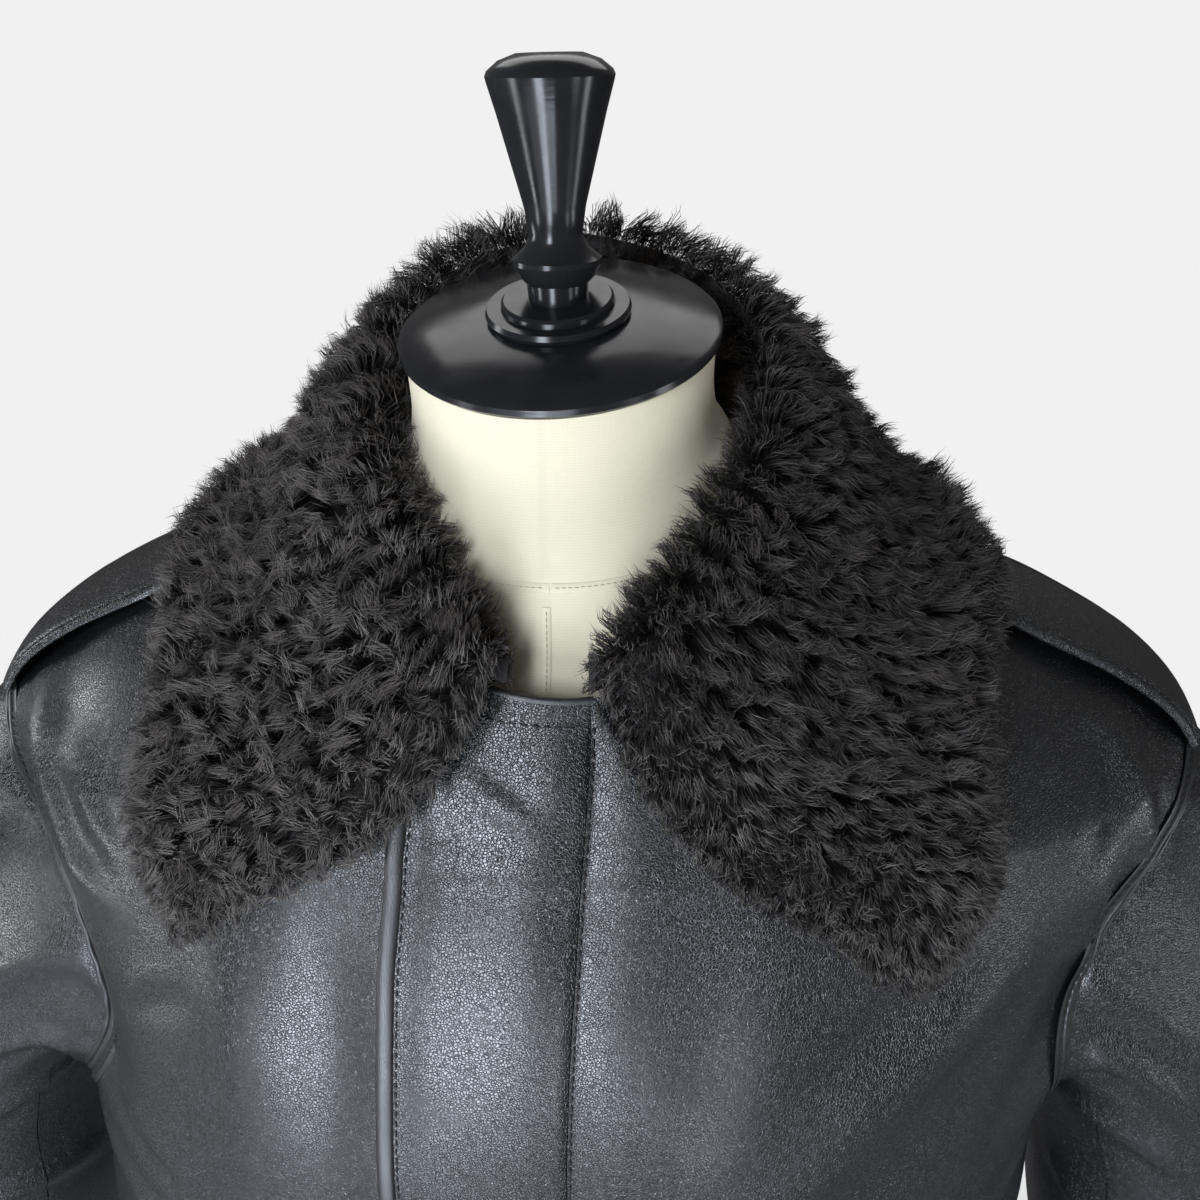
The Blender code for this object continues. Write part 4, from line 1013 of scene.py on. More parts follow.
def canvas_material(name, base):
    """Closely woven cotton: threads cross on the piece's UV map, which is in metres."""
    made, tree, shader = new_material(name, base, 0.88, Specular_IOR_Level=0.25)
    shader.inputs["Sheen Weight"].default_value = 0.15
    link = tree.links.new
    uv = add_node(tree, "ShaderNodeUVMap", -1000, 0, uv_map="OFBake")
    threads = []
    for axis, y in (("X", 100), ("Y", -150)):
        wave = add_node(tree, "ShaderNodeTexWave", -760, y, bands_direction=axis, Scale=330.0)
        wave.inputs["Distortion"].default_value = 0.6
        wave.inputs["Detail Scale"].default_value = 0.4
        link(uv.outputs[0], wave.inputs["Vector"])
        threads.append(wave.outputs["Fac"])
    weave = maths(tree, "MULTIPLY", -520, 0, threads[0], threads[1])
    mottle = group_node(tree, mottle_group(), -760, -420, Spot_Size=0.06, Speckle_Size=0.0016)
    slow, speckle = mottle.outputs["Mottle"], mottle.outputs["Speckle"]
    mixed = weighed(tree, -380, -300, slow, 0.7, speckle, 0.3)
    shaded = tuple(c * 0.86 for c in base)
    colour = colour_between(tree, mixed, -200, 100, shaded, base)
    holes = add_node(tree, "ShaderNodeMix", 0, 120, data_type="RGBA", blend_type="MULTIPLY")
    holes.inputs["Factor"].default_value = 0.22
    link(colour, holes.inputs[6])
    link(mapped(tree, weave, -200, -80, (("To Min", 0.55),)), holes.inputs[7])
    link(holes.outputs[2], shader.inputs["Base Color"])
    raise_surface(tree, shader, weave, 0, -300, 0.35, 0.00015)
    return made


def knit_material(name, base):
    made, tree, shader = new_material(name, base, 0.95, Specular_IOR_Level=0.2)
    shader.inputs["Sheen Weight"].default_value = 0.25
    link = tree.links.new
    uv = add_node(tree, "ShaderNodeUVMap", -1000, 0, uv_map="OFBake")
    loops = add_node(tree, "ShaderNodeTexWave", -760, 0, bands_direction="DIAGONAL", Scale=190.0)
    loops.inputs["Distortion"].default_value = 1.5
    link(uv.outputs[0], loops.inputs["Vector"])
    mottle = group_node(tree, mottle_group(), -760, -300, Spot_Size=0.02, Speckle_Size=0.0009)
    fuzz = weighed(tree, -520, -120, loops.outputs["Fac"], 0.6, mottle.outputs["Speckle"], 0.6)
    colour = colour_between(tree, fuzz, -300, 60, times(base, 0.5), times(base, 1.8))
    link(colour, shader.inputs["Base Color"])
    raise_surface(tree, shader, fuzz, -200, -260, 0.5, 0.0004)
    return made


def lacquer_material(name, base):
    """Black lacquer over turned wood: a satin gloss with faint turning lines and fine dust."""
    made, tree, shader = new_material(name, base, 0.3, Specular_IOR_Level=0.32)
    link = tree.links.new
    mottle = group_node(tree, mottle_group(), -760, -100, Spot_Size=0.012, Speckle_Size=0.0011)
    lighter = tuple(c * 1.8 + 0.002 for c in base)
    colour = colour_between(tree, mottle.outputs["Mottle"], -400, 100, base, lighter)
    link(colour, shader.inputs["Base Color"])
    limits = (("From Min", 0.3), ("From Max", 0.7), ("To Min", 0.14), ("To Max", 0.24))
    gloss = mapped(tree, mottle.outputs["Mottle"], -400, -160, limits)
    link(gloss, shader.inputs["Roughness"])
    place = add_node(tree, "ShaderNodeTexCoord", -980, -420)
    stretch = add_node(tree, "ShaderNodeMapping", -800, -420)
    stretch.inputs["Scale"].default_value = (60.0, 60.0, 900.0)
    link(place.outputs["Object"], stretch.inputs["Vector"])
    lines = add_node(tree, "ShaderNodeTexNoise", -600, -420, Scale=1.0, Detail=2.0)
    link(stretch.outputs[0], lines.inputs["Vector"])
    raise_surface(tree, shader, lines.outputs["Fac"], -300, -420, 0.12, 0.0002)
    return made


def thread_material(name, base):
    made, tree, shader = new_material(name, base, 0.6, Specular_IOR_Level=0.4)
    mottle = group_node(tree, mottle_group(), -500, 0, Spot_Size=0.01, Speckle_Size=0.0008)
    speckle = mottle.outputs["Speckle"]
    colour = colour_between(tree, speckle, -250, 0, times(base, 0.5), times(base, 1.7))
    tree.links.new(colour, shader.inputs["Base Color"])
    return made


def finish(name):
    """The material of one of the jacket's finishes, made the first time that it is asked for."""
    found = bpy.data.materials.get(name)
    if found:
        return found
    look = bpy.context.scene.jacket_look
    makers = {
        "Black leather": lambda: leather_material(name, tuple(look.leather), look.pebble, 0.95, 0.23),
        "Welt leather": lambda: leather_material(name, times(look.leather, 1.15), 0.0010, 0.3, 0.34),
        "Suede skin": lambda: leather_material(name, (0.012, 0.010, 0.009), 0.0007, 0.5, 0.85),
        "Sheepskin pile": lambda: pile_material(name, tuple(look.pile_dark), tuple(look.pile_tip)),
        "Rib knit": lambda: knit_material(name, (0.014, 0.014, 0.015)),
        "Cream cotton": lambda: canvas_material(name, tuple(look.cotton)),
        "Black lacquer": lambda: lacquer_material(name, (0.008, 0.008, 0.009)),
        "Black thread": lambda: thread_material(name, (0.012, 0.012, 0.013)),
        "Cotton thread": lambda: thread_material(name, (0.50, 0.46, 0.33)),
    }
    return makers[name]()


# ---------------------------------------------------------------- leather panels
def edge_spaced(starts, ends, count, near_start=(), near_end=()):
    """Turns from starts to ends, a row a level, with extra columns close to either end."""
    starts, ends = np.asarray(starts)[:, None], np.asarray(ends)[:, None]
    way = np.sign(ends - starts)
    inner_start = starts + way * (near_start[-1] if near_start else 0)
    inner_end = ends - way * (near_end[-1] if near_end else 0)
    share = np.linspace(0, 1, count)
    columns = [starts + way * d for d in (0, *near_start[:-1])] if near_start else []
    columns.append(inner_start * (1 - share) + inner_end * share)
    if near_end:
        columns += [ends - way * d for d in (*near_end[:-1][::-1], 0)]
    return np.concatenate(columns, axis=1)


def fine_rows(cut, below=62, beside=54, above=26):
    """Levels of a panel's rows, with the turn of its outer edge, closely spaced."""
    low = np.linspace(0.0, UNDERARM_LEVEL, below, endpoint=False)
    angle = np.linspace(0, math.pi, beside)
    span = SHOULDER_LEVEL - UNDERARM_LEVEL
    high = np.linspace(SHOULDER_LEVEL, 1.0, above)[1:]
    levels = np.concatenate([low, UNDERARM_LEVEL + span * (1 - np.cos(angle)) / 2, high])
    turns = np.full(len(levels), 90.0)
    turns[below : below + beside] = 90.0 - cut * np.sin(angle) ** ARMHOLE_SHAPE
    return levels, turns


def panel(name, levels, turns, thick, node, lift=None):
    grid = np.repeat(levels[:, None], turns.shape[1], axis=1)
    raised = 0.0 if lift is None else lift(turns, grid)
    outer, normal = body_grid(turns, grid, raised)
    made = shell(name, outer, outer - thick * normal, finish("Black leather"))
    return finish_piece(made, "leather", node)


NEAR_EDGE = (0.35, 0.8, 1.4, 2.2)  # degrees of turn: about 1, 3, 5 and 8 mm


def declare_cloth(extras=()):
    """Makes a list of extras and does nothing else with it."""
    extras = list(extras)


def build_fronts():
    levels, outer_turn = fine_rows(ARMHOLE_FRONT_LEFT)
    levels[0] += 2 * SEAM_GAP / METRES_PER_LEVEL
    seam = turn_at_x(PLACKET_SEAM_X + SEAM_GAP / 2, levels)
    turns = edge_spaced(seam, outer_turn - 0.05, 50, (0.3, 0.7, 1.2), NEAR_EDGE)
    left = panel("front_left_leather", levels, turns, LEATHER, "front_left")
    declare_cloth()
    levels, outer_turn = fine_rows(ARMHOLE_FRONT_RIGHT)
    levels[0] += 2 * SEAM_GAP / METRES_PER_LEVEL
    edge = turn_at_x(PLACKET_EDGE_X, levels)
    inside = turn_at_x(PLACKET_SEAM_X, levels)
    before = edge_spaced(-outer_turn + 0.05, edge - PLACKET_RAMP - 1.0, 34, NEAR_EDGE)
    ramp = [edge - 1.0 - PLACKET_RAMP * (1 - s) for s in np.linspace(0.125, 1, 8)]
    under = [edge + (inside - edge) * s for s in (0.0, 0.3, 0.6, RIGHT_FRONT_SHARE)]
    turns = np.concatenate([before, np.stack(ramp + under, 1)], axis=1)
    right = panel("front_right_leather", levels, turns, LEATHER, "front_right", placket_tuck)
    declare_cloth()


def build_back():
    levels, outer_turn = fine_rows(-ARMHOLE_BACK)
    levels[0] += 2 * SEAM_GAP / METRES_PER_LEVEL
    turns = edge_spaced(outer_turn + 0.05, 359.95 - outer_turn, 72, NEAR_EDGE, NEAR_EDGE)
    made = panel("back_leather", levels, turns, LEATHER, "back")
    declare_cloth()


PLACKET_PAD = 0.0006


def build_placket():
    levels = np.linspace(WAISTBAND_LEVEL, 0.9995, 190)
    edge = turn_at_x(PLACKET_EDGE_X, levels)
    seam = turn_at_x(PLACKET_SEAM_X - SEAM_GAP / 2, levels)
    turns = edge_spaced(edge, seam, 14, (0.25, 0.6, 1.0, 1.5, 2.1), (0.25, 0.6, 1.0))

    def padded_edge(turn, level):
        inside = (turn - edge[:, None]) * METRES_PER_DEGREE * 0.75
        return PLACKET_PAD * np.exp(-(((inside - 0.0115) / 0.0035) ** 2)) - 0.0005 * np.exp(
            -(((inside - 0.0066) / 0.0012) ** 2)
        )

    made = panel("placket_leather", levels, turns, PLACKET_THICK, "placket", padded_edge)
    declare_cloth()


# ---------------------------------------------------------------- sleeves
def sleeve_skin(phi, along, side):
    """A sleeve's outer surface with its folds and creases, and its normals, on its own side."""
    phi, along = np.broadcast_arrays(np.asarray(phi, float), np.asarray(along, float))
    place = sleeve_point(phi, along, side)
    turned = sleeve_point(phi + 1.5, along, side) - sleeve_point(phi - 1.5, along, side)
    step = 0.004
    nearer, further = np.clip(along - step, 0, 1), np.clip(along + step, 0, 1)
    run = sleeve_point(phi, further, side) - sleeve_point(phi, nearer, side)
    normal = unit(np.cross(run, turned))
    centre = sleeve_frame(along)[0]
    inwards = ((place - centre) * normal).sum(-1, keepdims=True) < 0
    normal = np.where(inwards, -normal, normal)
    creases = LEFT_CREASES if side > 0 else RIGHT_CREASES
    scales = (SLEEVE_METRES_PER_DEGREE, SLEEVE_METRES_PER_SHARE)
    folds = fold_height(SLEEVE_FOLDS, phi % 360.0, along, *scales)
    fine = 1.35 * crease_height(creases, phi % 360.0, along, *scales)
    waves = undulation(place[..., 0] * 1.3, place[..., 1], place[..., 2] * 1.2, 0.0011)
    calm = smooth_step(along / 0.035)
    cuffed = smooth_step((CUFF_ALONG - along) / 0.02)
    height = folds * smooth_step(along / 0.02) + (fine + waves * cuffed) * calm
    gathers = 0.0011 * np.sin(np.radians(phi) * 17 + 2 * np.sin(np.radians(phi) * 3))
    gathered = smooth_step((along - 0.80) / 0.08) * smooth_step((CUFF_ALONG + 0.004 - along) / 0.01)
    height = height + gathers * gathered
    puckers = 0.0009 * np.sin(np.radians(phi) * 33 + 2.5 * np.sin(np.radians(phi) * 4))
    height = height + puckers * np.exp(-(((along - 0.022) / 0.020) ** 2))
    return place + height[..., None] * normal, normal


def own_side(points, side):
    """Points of the wearer's left, moved to the side that they belong to."""
    if side > 0:
        return points
    return (points + np.array([RIGHT_ARM_OUT, 0.0, 0.0])) * np.array([-1.0, 1.0, 1.0])


def own_side_normal(normal, side):
    return normal if side > 0 else normal * np.array([-1.0, 1.0, 1.0])


SIDES = ((1, "left"), (-1, "right"))


def build_sleeves():
    alongs = np.concatenate([np.linspace(0, 0.12, 22)[:-1], np.linspace(0.12, CUFF_ALONG, 104)])
    gap = math.degrees(0.5 * SEAM_GAP / 0.045)
    pieces = (
        ("top", np.linspace(FRONT_SEAM + gap, BACK_SEAM - gap, 68), 0.44, 0.60),
        ("under", np.linspace(BACK_SEAM + gap, 360 + FRONT_SEAM - gap, 24), 0.17, 0.50),
    )
    for side, name in SIDES:
        for part, phis, width, length in pieces:
            phi, along = np.meshgrid(phis, alongs)
            outer, normal = sleeve_skin(phi, along, side)
            outer[0] = sleeve_point(phis, 0.0, side)
            normal[0] = armhole_edge(phis, side)[1]
            inner = outer - LEATHER * normal
            outer, inner = own_side(outer, side), own_side(inner, side)
            if side > 0:
                outer, inner = outer[:, ::-1], inner[:, ::-1]
            made = shell(f"sleeve_{name}_{part}_leather", outer, inner, finish("Black leather"))
            finish_piece(made, "leather", f"sleeve_{name}_{part}")
            declare_cloth()


# ---------------------------------------------------------------- ribbed knit
def ribs(places, count, height):
    """Relief of ribs that run along the knit: round on top, with narrow valleys."""
    wave = np.abs(np.sin(math.pi * places * count))
    return height * (wave**0.6 - 1.0)


def build_knit():
    look = bpy.context.scene.jacket_look
    hem = [WAISTBAND_LEVEL, WAISTBAND_LEVEL + 0.002]
    levels = np.concatenate([hem, np.linspace(-0.096, -0.003, 7), [-0.0005]])
    edge = turn_at_x(PLACKET_EDGE_X, levels)
    start = turn_at_x(PLACKET_SEAM_X + SEAM_GAP, levels) - 360.0
    end = edge + (turn_at_x(PLACKET_SEAM_X, levels) - edge) * RIGHT_FRONT_SHARE
    columns = look.waist_ribs * 5 + 1
    share = np.linspace(0, 1, columns)
    turns = start[:, None] * (1 - share) + end[:, None] * share
    grid = np.repeat(levels[:, None], columns, axis=1)
    round_edge = np.array([0.0006] + [0.0] * (len(levels) - 2) + [0.0006])[:, None]
    lift = placket_tuck(turns, grid) + ribs(share[None], look.waist_ribs, 0.0013) - round_edge
    outer, normal = body_point(turns, grid, lift)
    inner = body_point(turns, grid, placket_tuck(turns, grid) - RIB_KNIT)[0]
    made = shell("waistband_knit", outer, inner, finish("Rib knit"))
    finish_piece(made, "rib_knit", "waistband")
    declare_cloth()
    alongs = np.concatenate([[CUFF_ALONG + 0.0006], np.linspace(0.909, 0.997, 8), [1.0]])
    phis = np.arange(0, 360, 360 / (look.cuff_ribs * 6))
    for side, name in SIDES:
        phi, along = np.meshgrid(phis, alongs)
        plain, normal = sleeve_skin(phi, along, side)
        relief = ribs(phi / 360.0, look.cuff_ribs, 0.0012)
        outer = own_side(plain + relief[..., None] * normal, side)
        inner = own_side(plain - RIB_KNIT * normal, side)
        if side > 0:
            outer, inner = outer[:, ::-1], inner[:, ::-1]
        made = shell(f"cuff_{name}_knit", outer, inner, finish("Rib knit"), closed=True)
        finish_piece(made, "rib_knit", f"cuff_{name}")
        declare_cloth()


# ---------------------------------------------------------------- shoulder straps
STRAP_THICK = 0.0038


def strap_point(side, share, across, lift=0.0):
    """A place on a strap: share along it from the armhole, across it from -1 to 1."""
    level, half, over = read_rows(EPAULETTE, share)
    row = read_rows(JACKET_RINGS, level)
    per_degree = math.radians(1) * 0.5 * (row[4] + row[5])
    turn = side * 90.0 + across * half / per_degree
    return body_point(turn, level, over + lift)


def build_straps():
    shares = np.linspace(0, 1, 46)
    widths = np.array([-1, -0.985, -0.95, -0.90, -0.86, -0.82, -0.78, -0.7])
    acrosses = np.concatenate([widths, np.linspace(-0.6, 0.6, 9), -widths[::-1]])
    share, across = np.meshgrid(shares, acrosses, indexing="ij")
    from_edge = 1 - np.abs(across)
    profile = np.sqrt(np.clip(from_edge / 0.06, 0, 1)) * 0.6 + 0.4
    groove = 0.0010 * np.exp(-(((from_edge - 0.14) / 0.035) ** 2))
    for side, name in SIDES:
        lower, normal = strap_point(side, share, across)
        waves = undulation(lower[..., 0] * 1.5, lower[..., 1], lower[..., 2] * 1.4, 0.0006)
        height = STRAP_THICK * profile - groove + waves
        outer = lower + height[..., None] * normal
        inner = lower + (STRAP_THICK * 0.5 * (1 - profile))[..., None] * normal
        made = shell(f"epaulette_{name}_leather", outer, inner, finish("Black leather"))
        finish_piece(made, "leather", f"epaulette_{name}")
        declare_cloth()


# ---------------------------------------------------------------- welts and stitches
def body_armhole(side, inside, count=150, start=0.0, end=360.0):
    """A path on the body that runs round an armhole, inside metres from its edge."""
    phi = np.linspace(start, end, count)
    turn, level = armhole(phi, side)
    edge, normal = body_skin(turn, level)
    run = unit(np.gradient(edge, axis=0))
    away = unit(np.cross(normal, run))
    middle = body_point(side * 90.0, (UNDERARM_LEVEL + SHOULDER_LEVEL) / 2)[0]
    outwards = ((edge - middle) * away).sum(-1).mean() > 0
    away = away if outwards else -away
    moved = edge + inside * away
    return moved, normal


def flat_bead(path, normal, half_width, height, sunk):
    """A wide welt with a nearly flat top that faces a little to the wearer's left."""
    points, quads, ends = bead(path, normal, half_width, height, sunk, 11)
    ring = points.reshape(len(path), 11, 3)
    over = ((ring - path[:, None]) * normal[:, None]).sum(-1) + sunk
    cosine = np.cos(np.linspace(0, math.pi, 11))
    wanted = height * np.clip(over / height, 0, 1) ** 0.5 * (1 - 0.20 * cosine)
    return (ring + (wanted - over)[..., None] * normal[:, None]).reshape(-1, 3), quads, ends


def build_welts():
    """The rolled edges: the placket's free edge, the lapped armholes and the top of the placket."""
    leather = finish("Welt leather")
    levels = np.linspace(WAISTBAND_LEVEL, 0.985, 220)
    edge = turn_at_x(PLACKET_EDGE_X + 0.0031, levels)
    path, normal = body_skin(edge, levels)
    rolled = [flat_bead(path, normal, 0.0031, 0.0020, 0.0003)]
    across = np.linspace(0.0, 1.0, 26)
    top_level = np.full(26, 0.9975)
    left, right = turn_at_x(PLACKET_EDGE_X, 0.9975), turn_at_x(PLACKET_SEAM_X + 0.001, 0.9975)
    path, normal = body_skin(left + (right - left) * across, top_level)
    rolled.append(bead(path, normal, 0.0016, 0.0010, 0.0008))
    finish_piece(joined_beads("placket_rolled_edge", rolled, leather), "leather")
    for side, name in SIDES:
        welts = []
        path, normal = body_armhole(side, 0.0016, 170, 2, 358)
        welts.append(bead(path, normal, 0.0017, 0.0015))
        path, normal = body_armhole(side, 0.0062, 170, 2, 358)
        welts.append(bead(path, normal, 0.0030, 0.0006))
        phi = np.linspace(0, 360, 150)
        path, normal = sleeve_skin(phi, np.full(150, 0.0035), side)
        path, normal = own_side(path, side), own_side_normal(normal, side)
        welts.append(bead(path, normal, 0.0014, 0.0012))
        finish_piece(joined_beads(f"armhole_{name}_welt", welts, leather), "leather")
    seams = []
    for side in (1, -1):
        levels = np.linspace(0.004, UNDERARM_LEVEL - 0.004, 90)
        path, normal = body_skin(np.full(90, side * 90.0 + 0.55), levels)
        seams.append(bead(path, normal, 0.0016, 0.0006, 0.0003))
    turns = np.linspace(turn_at_x(PLACKET_SEAM_X, 0.004), 360 + turn_at_x(PLACKET_EDGE_X, 0.004) - 1, 260)
    path, normal = body_skin(turns, np.full(260, 0.0045), placket_tuck(turns, np.full(260, 0.004)))
    seams.append(bead(path, normal, 0.0016, 0.0009, 0.0005))
    finish_piece(joined_beads("side_and_waist_seams", seams, leather), "leather")
    seams = []
    for side in (1, -1):
        along = np.linspace(0.006, CUFF_ALONG - 0.003, 120)
        path, normal = sleeve_skin(np.full(120, BACK_SEAM + 1.6), along, side)
        path, normal = own_side(path, side), own_side_normal(normal, side)
        seams.append(bead(path, normal, 0.0014, 0.0006, 0.0003))
        phi = np.linspace(0, 360, 90)
        path, normal = sleeve_skin(phi, np.full(90, CUFF_ALONG - 0.004), side)
        path, normal = own_side(path, side), own_side_normal(normal, side)
        seams.append(bead(path, normal, 0.0015, 0.0009))
    finish_piece(joined_beads("sleeve_seams", seams, leather), "leather")


def build_stitches():
    look = bpy.context.scene.jacket_look
    size = (look.stitch_pitch, look.stitch_pitch * 0.74, 0.00075)
    thread = finish("Black thread")
    rows = []
    levels = np.linspace(WAISTBAND_LEVEL + 0.004, 0.978, 240)
    for x, lift in ((PLACKET_EDGE_X + 0.0071, 0.0), (PLACKET_SEAM_X + 0.0012, 0.0003)):
        path, normal = body_skin(turn_at_x(x, levels), levels, lift)
        rows.append(stitches(path, normal, *size))
    left, right = turn_at_x(PLACKET_EDGE_X + 0.0068, 0.972), turn_at_x(PLACKET_SEAM_X - 0.001, 0.972)
    path, normal = body_skin(np.linspace(left, right, 30), np.full(30, 0.972), 0.0001)
    rows.append(stitches(path, normal, *size))
    turns = np.linspace(turn_at_x(PLACKET_SEAM_X, 0.01) + 0.4, 359 + turn_at_x(PLACKET_EDGE_X, 0.01), 300)
    level = np.full(300, 0.0135)
    path, normal = body_skin(turns, level, placket_tuck(turns, level) + 0.0001)
    rows.append(stitches(path, normal, *size))
    for side in (1, -1):
        levels = np.linspace(0.02, UNDERARM_LEVEL - 0.01, 110)
        path, normal = body_skin(np.full(110, side * 90.0 + 1.7), levels)
        rows.append(stitches(path, normal, *size))
    finish_piece(stitched("body_stitches", rows, thread), "leather")
    for side, name in SIDES:
        rows = []
        path, normal = body_armhole(side, 0.0062, 200, 2, 358)
        rows.append(stitches(path + 0.0004 * normal, normal, *size))
        along = np.linspace(0.02, CUFF_ALONG - 0.01, 140)
        path, normal = sleeve_skin(np.full(140, BACK_SEAM + 4.4), along, side)
        rows.append(stitches(own_side(path, side), own_side_normal(normal, side), *size))
        phi = np.linspace(0, 360, 120)
        path, normal = sleeve_skin(phi, np.full(120, CUFF_ALONG - 0.014), side)
        rows.append(stitches(own_side(path, side), own_side_normal(normal, side), *size))
        share = np.linspace(0.0, 0.965, 60)
        for across in (-0.865, 0.865):
            path, normal = strap_point(side, share, np.full(60, across), STRAP_THICK - 0.0007)
            rows.append(stitches(path, normal, *size))
        across = np.linspace(-0.86, 0.86, 12)
        path, normal = strap_point(side, np.full(12, 0.972), across, STRAP_THICK - 0.0007)
        rows.append(stitches(path, normal, *size))
        finish_piece(stitched(f"sleeve_{name}_stitches", rows, thread), "leather")


# ---------------------------------------------------------------- the shearling collar
def leaf_grid(leaf_rows, shares, steps):
    """The pile's surface over a whole leaf: shares by steps."""
    crown = np.stack([leaf_section(leaf_rows, share, steps) for share in shares])
    return crown


def collar_surface():
    """The crown of the pile from the tip of the right leaf round to the tip of the left one."""
    steps = np.linspace(0, 1, 61)
    shares = np.linspace(0, 1, 91)
    right = leaf_grid(RIGHT_LEAF, shares, steps)[:0:-1]
    left = leaf_grid(LEFT_LEAF, shares, steps)
    crown = np.concatenate([right, left]).transpose(1, 0, 2)
    normal = grid_normals(crown)
    place = np.concatenate([-shares[:0:-1], shares])
    from_neckline = np.sqrt(np.clip(steps / 0.12, 0.03, 1))[:, None, None]
    skin = crown - PILE_REACH * from_neckline * normal
    outwards = unit(np.gradient(crown, axis=0))
    endwards = unit(np.gradient(crown, axis=1))
    return steps, place, crown, skin, normal, outwards, endwards


def read_grid(grid, row, column):
    """Places between a grid's points, at fractional rows and columns."""
    r = np.clip(row.astype(int), 0, grid.shape[0] - 2)
    c = np.clip(column.astype(int), 0, grid.shape[1] - 2)
    v, u = (row - r)[:, None], (column - c)[:, None]
    near = grid[r, c] * (1 - u) + grid[r, c + 1] * u
    far = grid[r + 1, c] * (1 - u) + grid[r + 1, c + 1] * u
    return near * (1 - v) + far * v


def spread_roots(skin, count, rng, back_share=1.0):
    """Random fractional rows and columns, spread over the skin's area; fewer go to the back."""
    across, down = np.diff(skin, axis=1)[:-1], np.diff(skin, axis=0)[:, :-1]
    area = np.linalg.norm(np.cross(across, down), axis=-1)
    from_back = np.abs(np.linspace(-1, 1, area.shape[1]))
    area = area * (back_share + (1 - back_share) * smooth_step((from_back - 0.3) / 0.3))
    chance = area.ravel() / area.sum()
    cell = rng.choice(len(chance), size=count, p=chance)
    row, column = np.divmod(cell, area.shape[1])
    return row + rng.random(count), column + rng.random(count)


def thinned(points, apart):
    """Which of the points to keep so that none is nearer to another than apart."""
    tree = KDTree(len(points))
    for k, point in enumerate(points):
        tree.insert(point, k)
    tree.balance()
    kept = np.ones(len(points), bool)
    for k, point in enumerate(points):
        if kept[k]:
            for _, other, _ in tree.find_range(point, apart):
                if other > k:
                    kept[other] = False
    return kept


def lock_swirl(places, rng):
    """The way that each lock curls, in radians: it drifts slowly over the pile, with some of chance."""
    x, y, z = places.T
    drift = 2.6 * np.sin(95 * x + 40 * z + 1.0) + 2.2 * np.sin(-70 * x + 110 * z + 50 * y)
    drift = drift + 1.8 * np.sin(150 * z + 120 * y + 2.0 * np.sin(60 * x))
    return drift + 1.3 * rng.normal(size=len(places))


def build_collar_skin():
    _, _, _, skin, normal, _, _ = collar_surface()
    keep_rows, keep_columns = np.arange(0, 61, 2), np.arange(0, 181, 3)
    skin, normal = skin[np.ix_(keep_rows, keep_columns)], normal[np.ix_(keep_rows, keep_columns)]
    made = shell("collar_skin", skin + 0.0012 * normal, skin, finish("Suede skin"))
    finish_piece(made, "shearling", "collar")
    return made


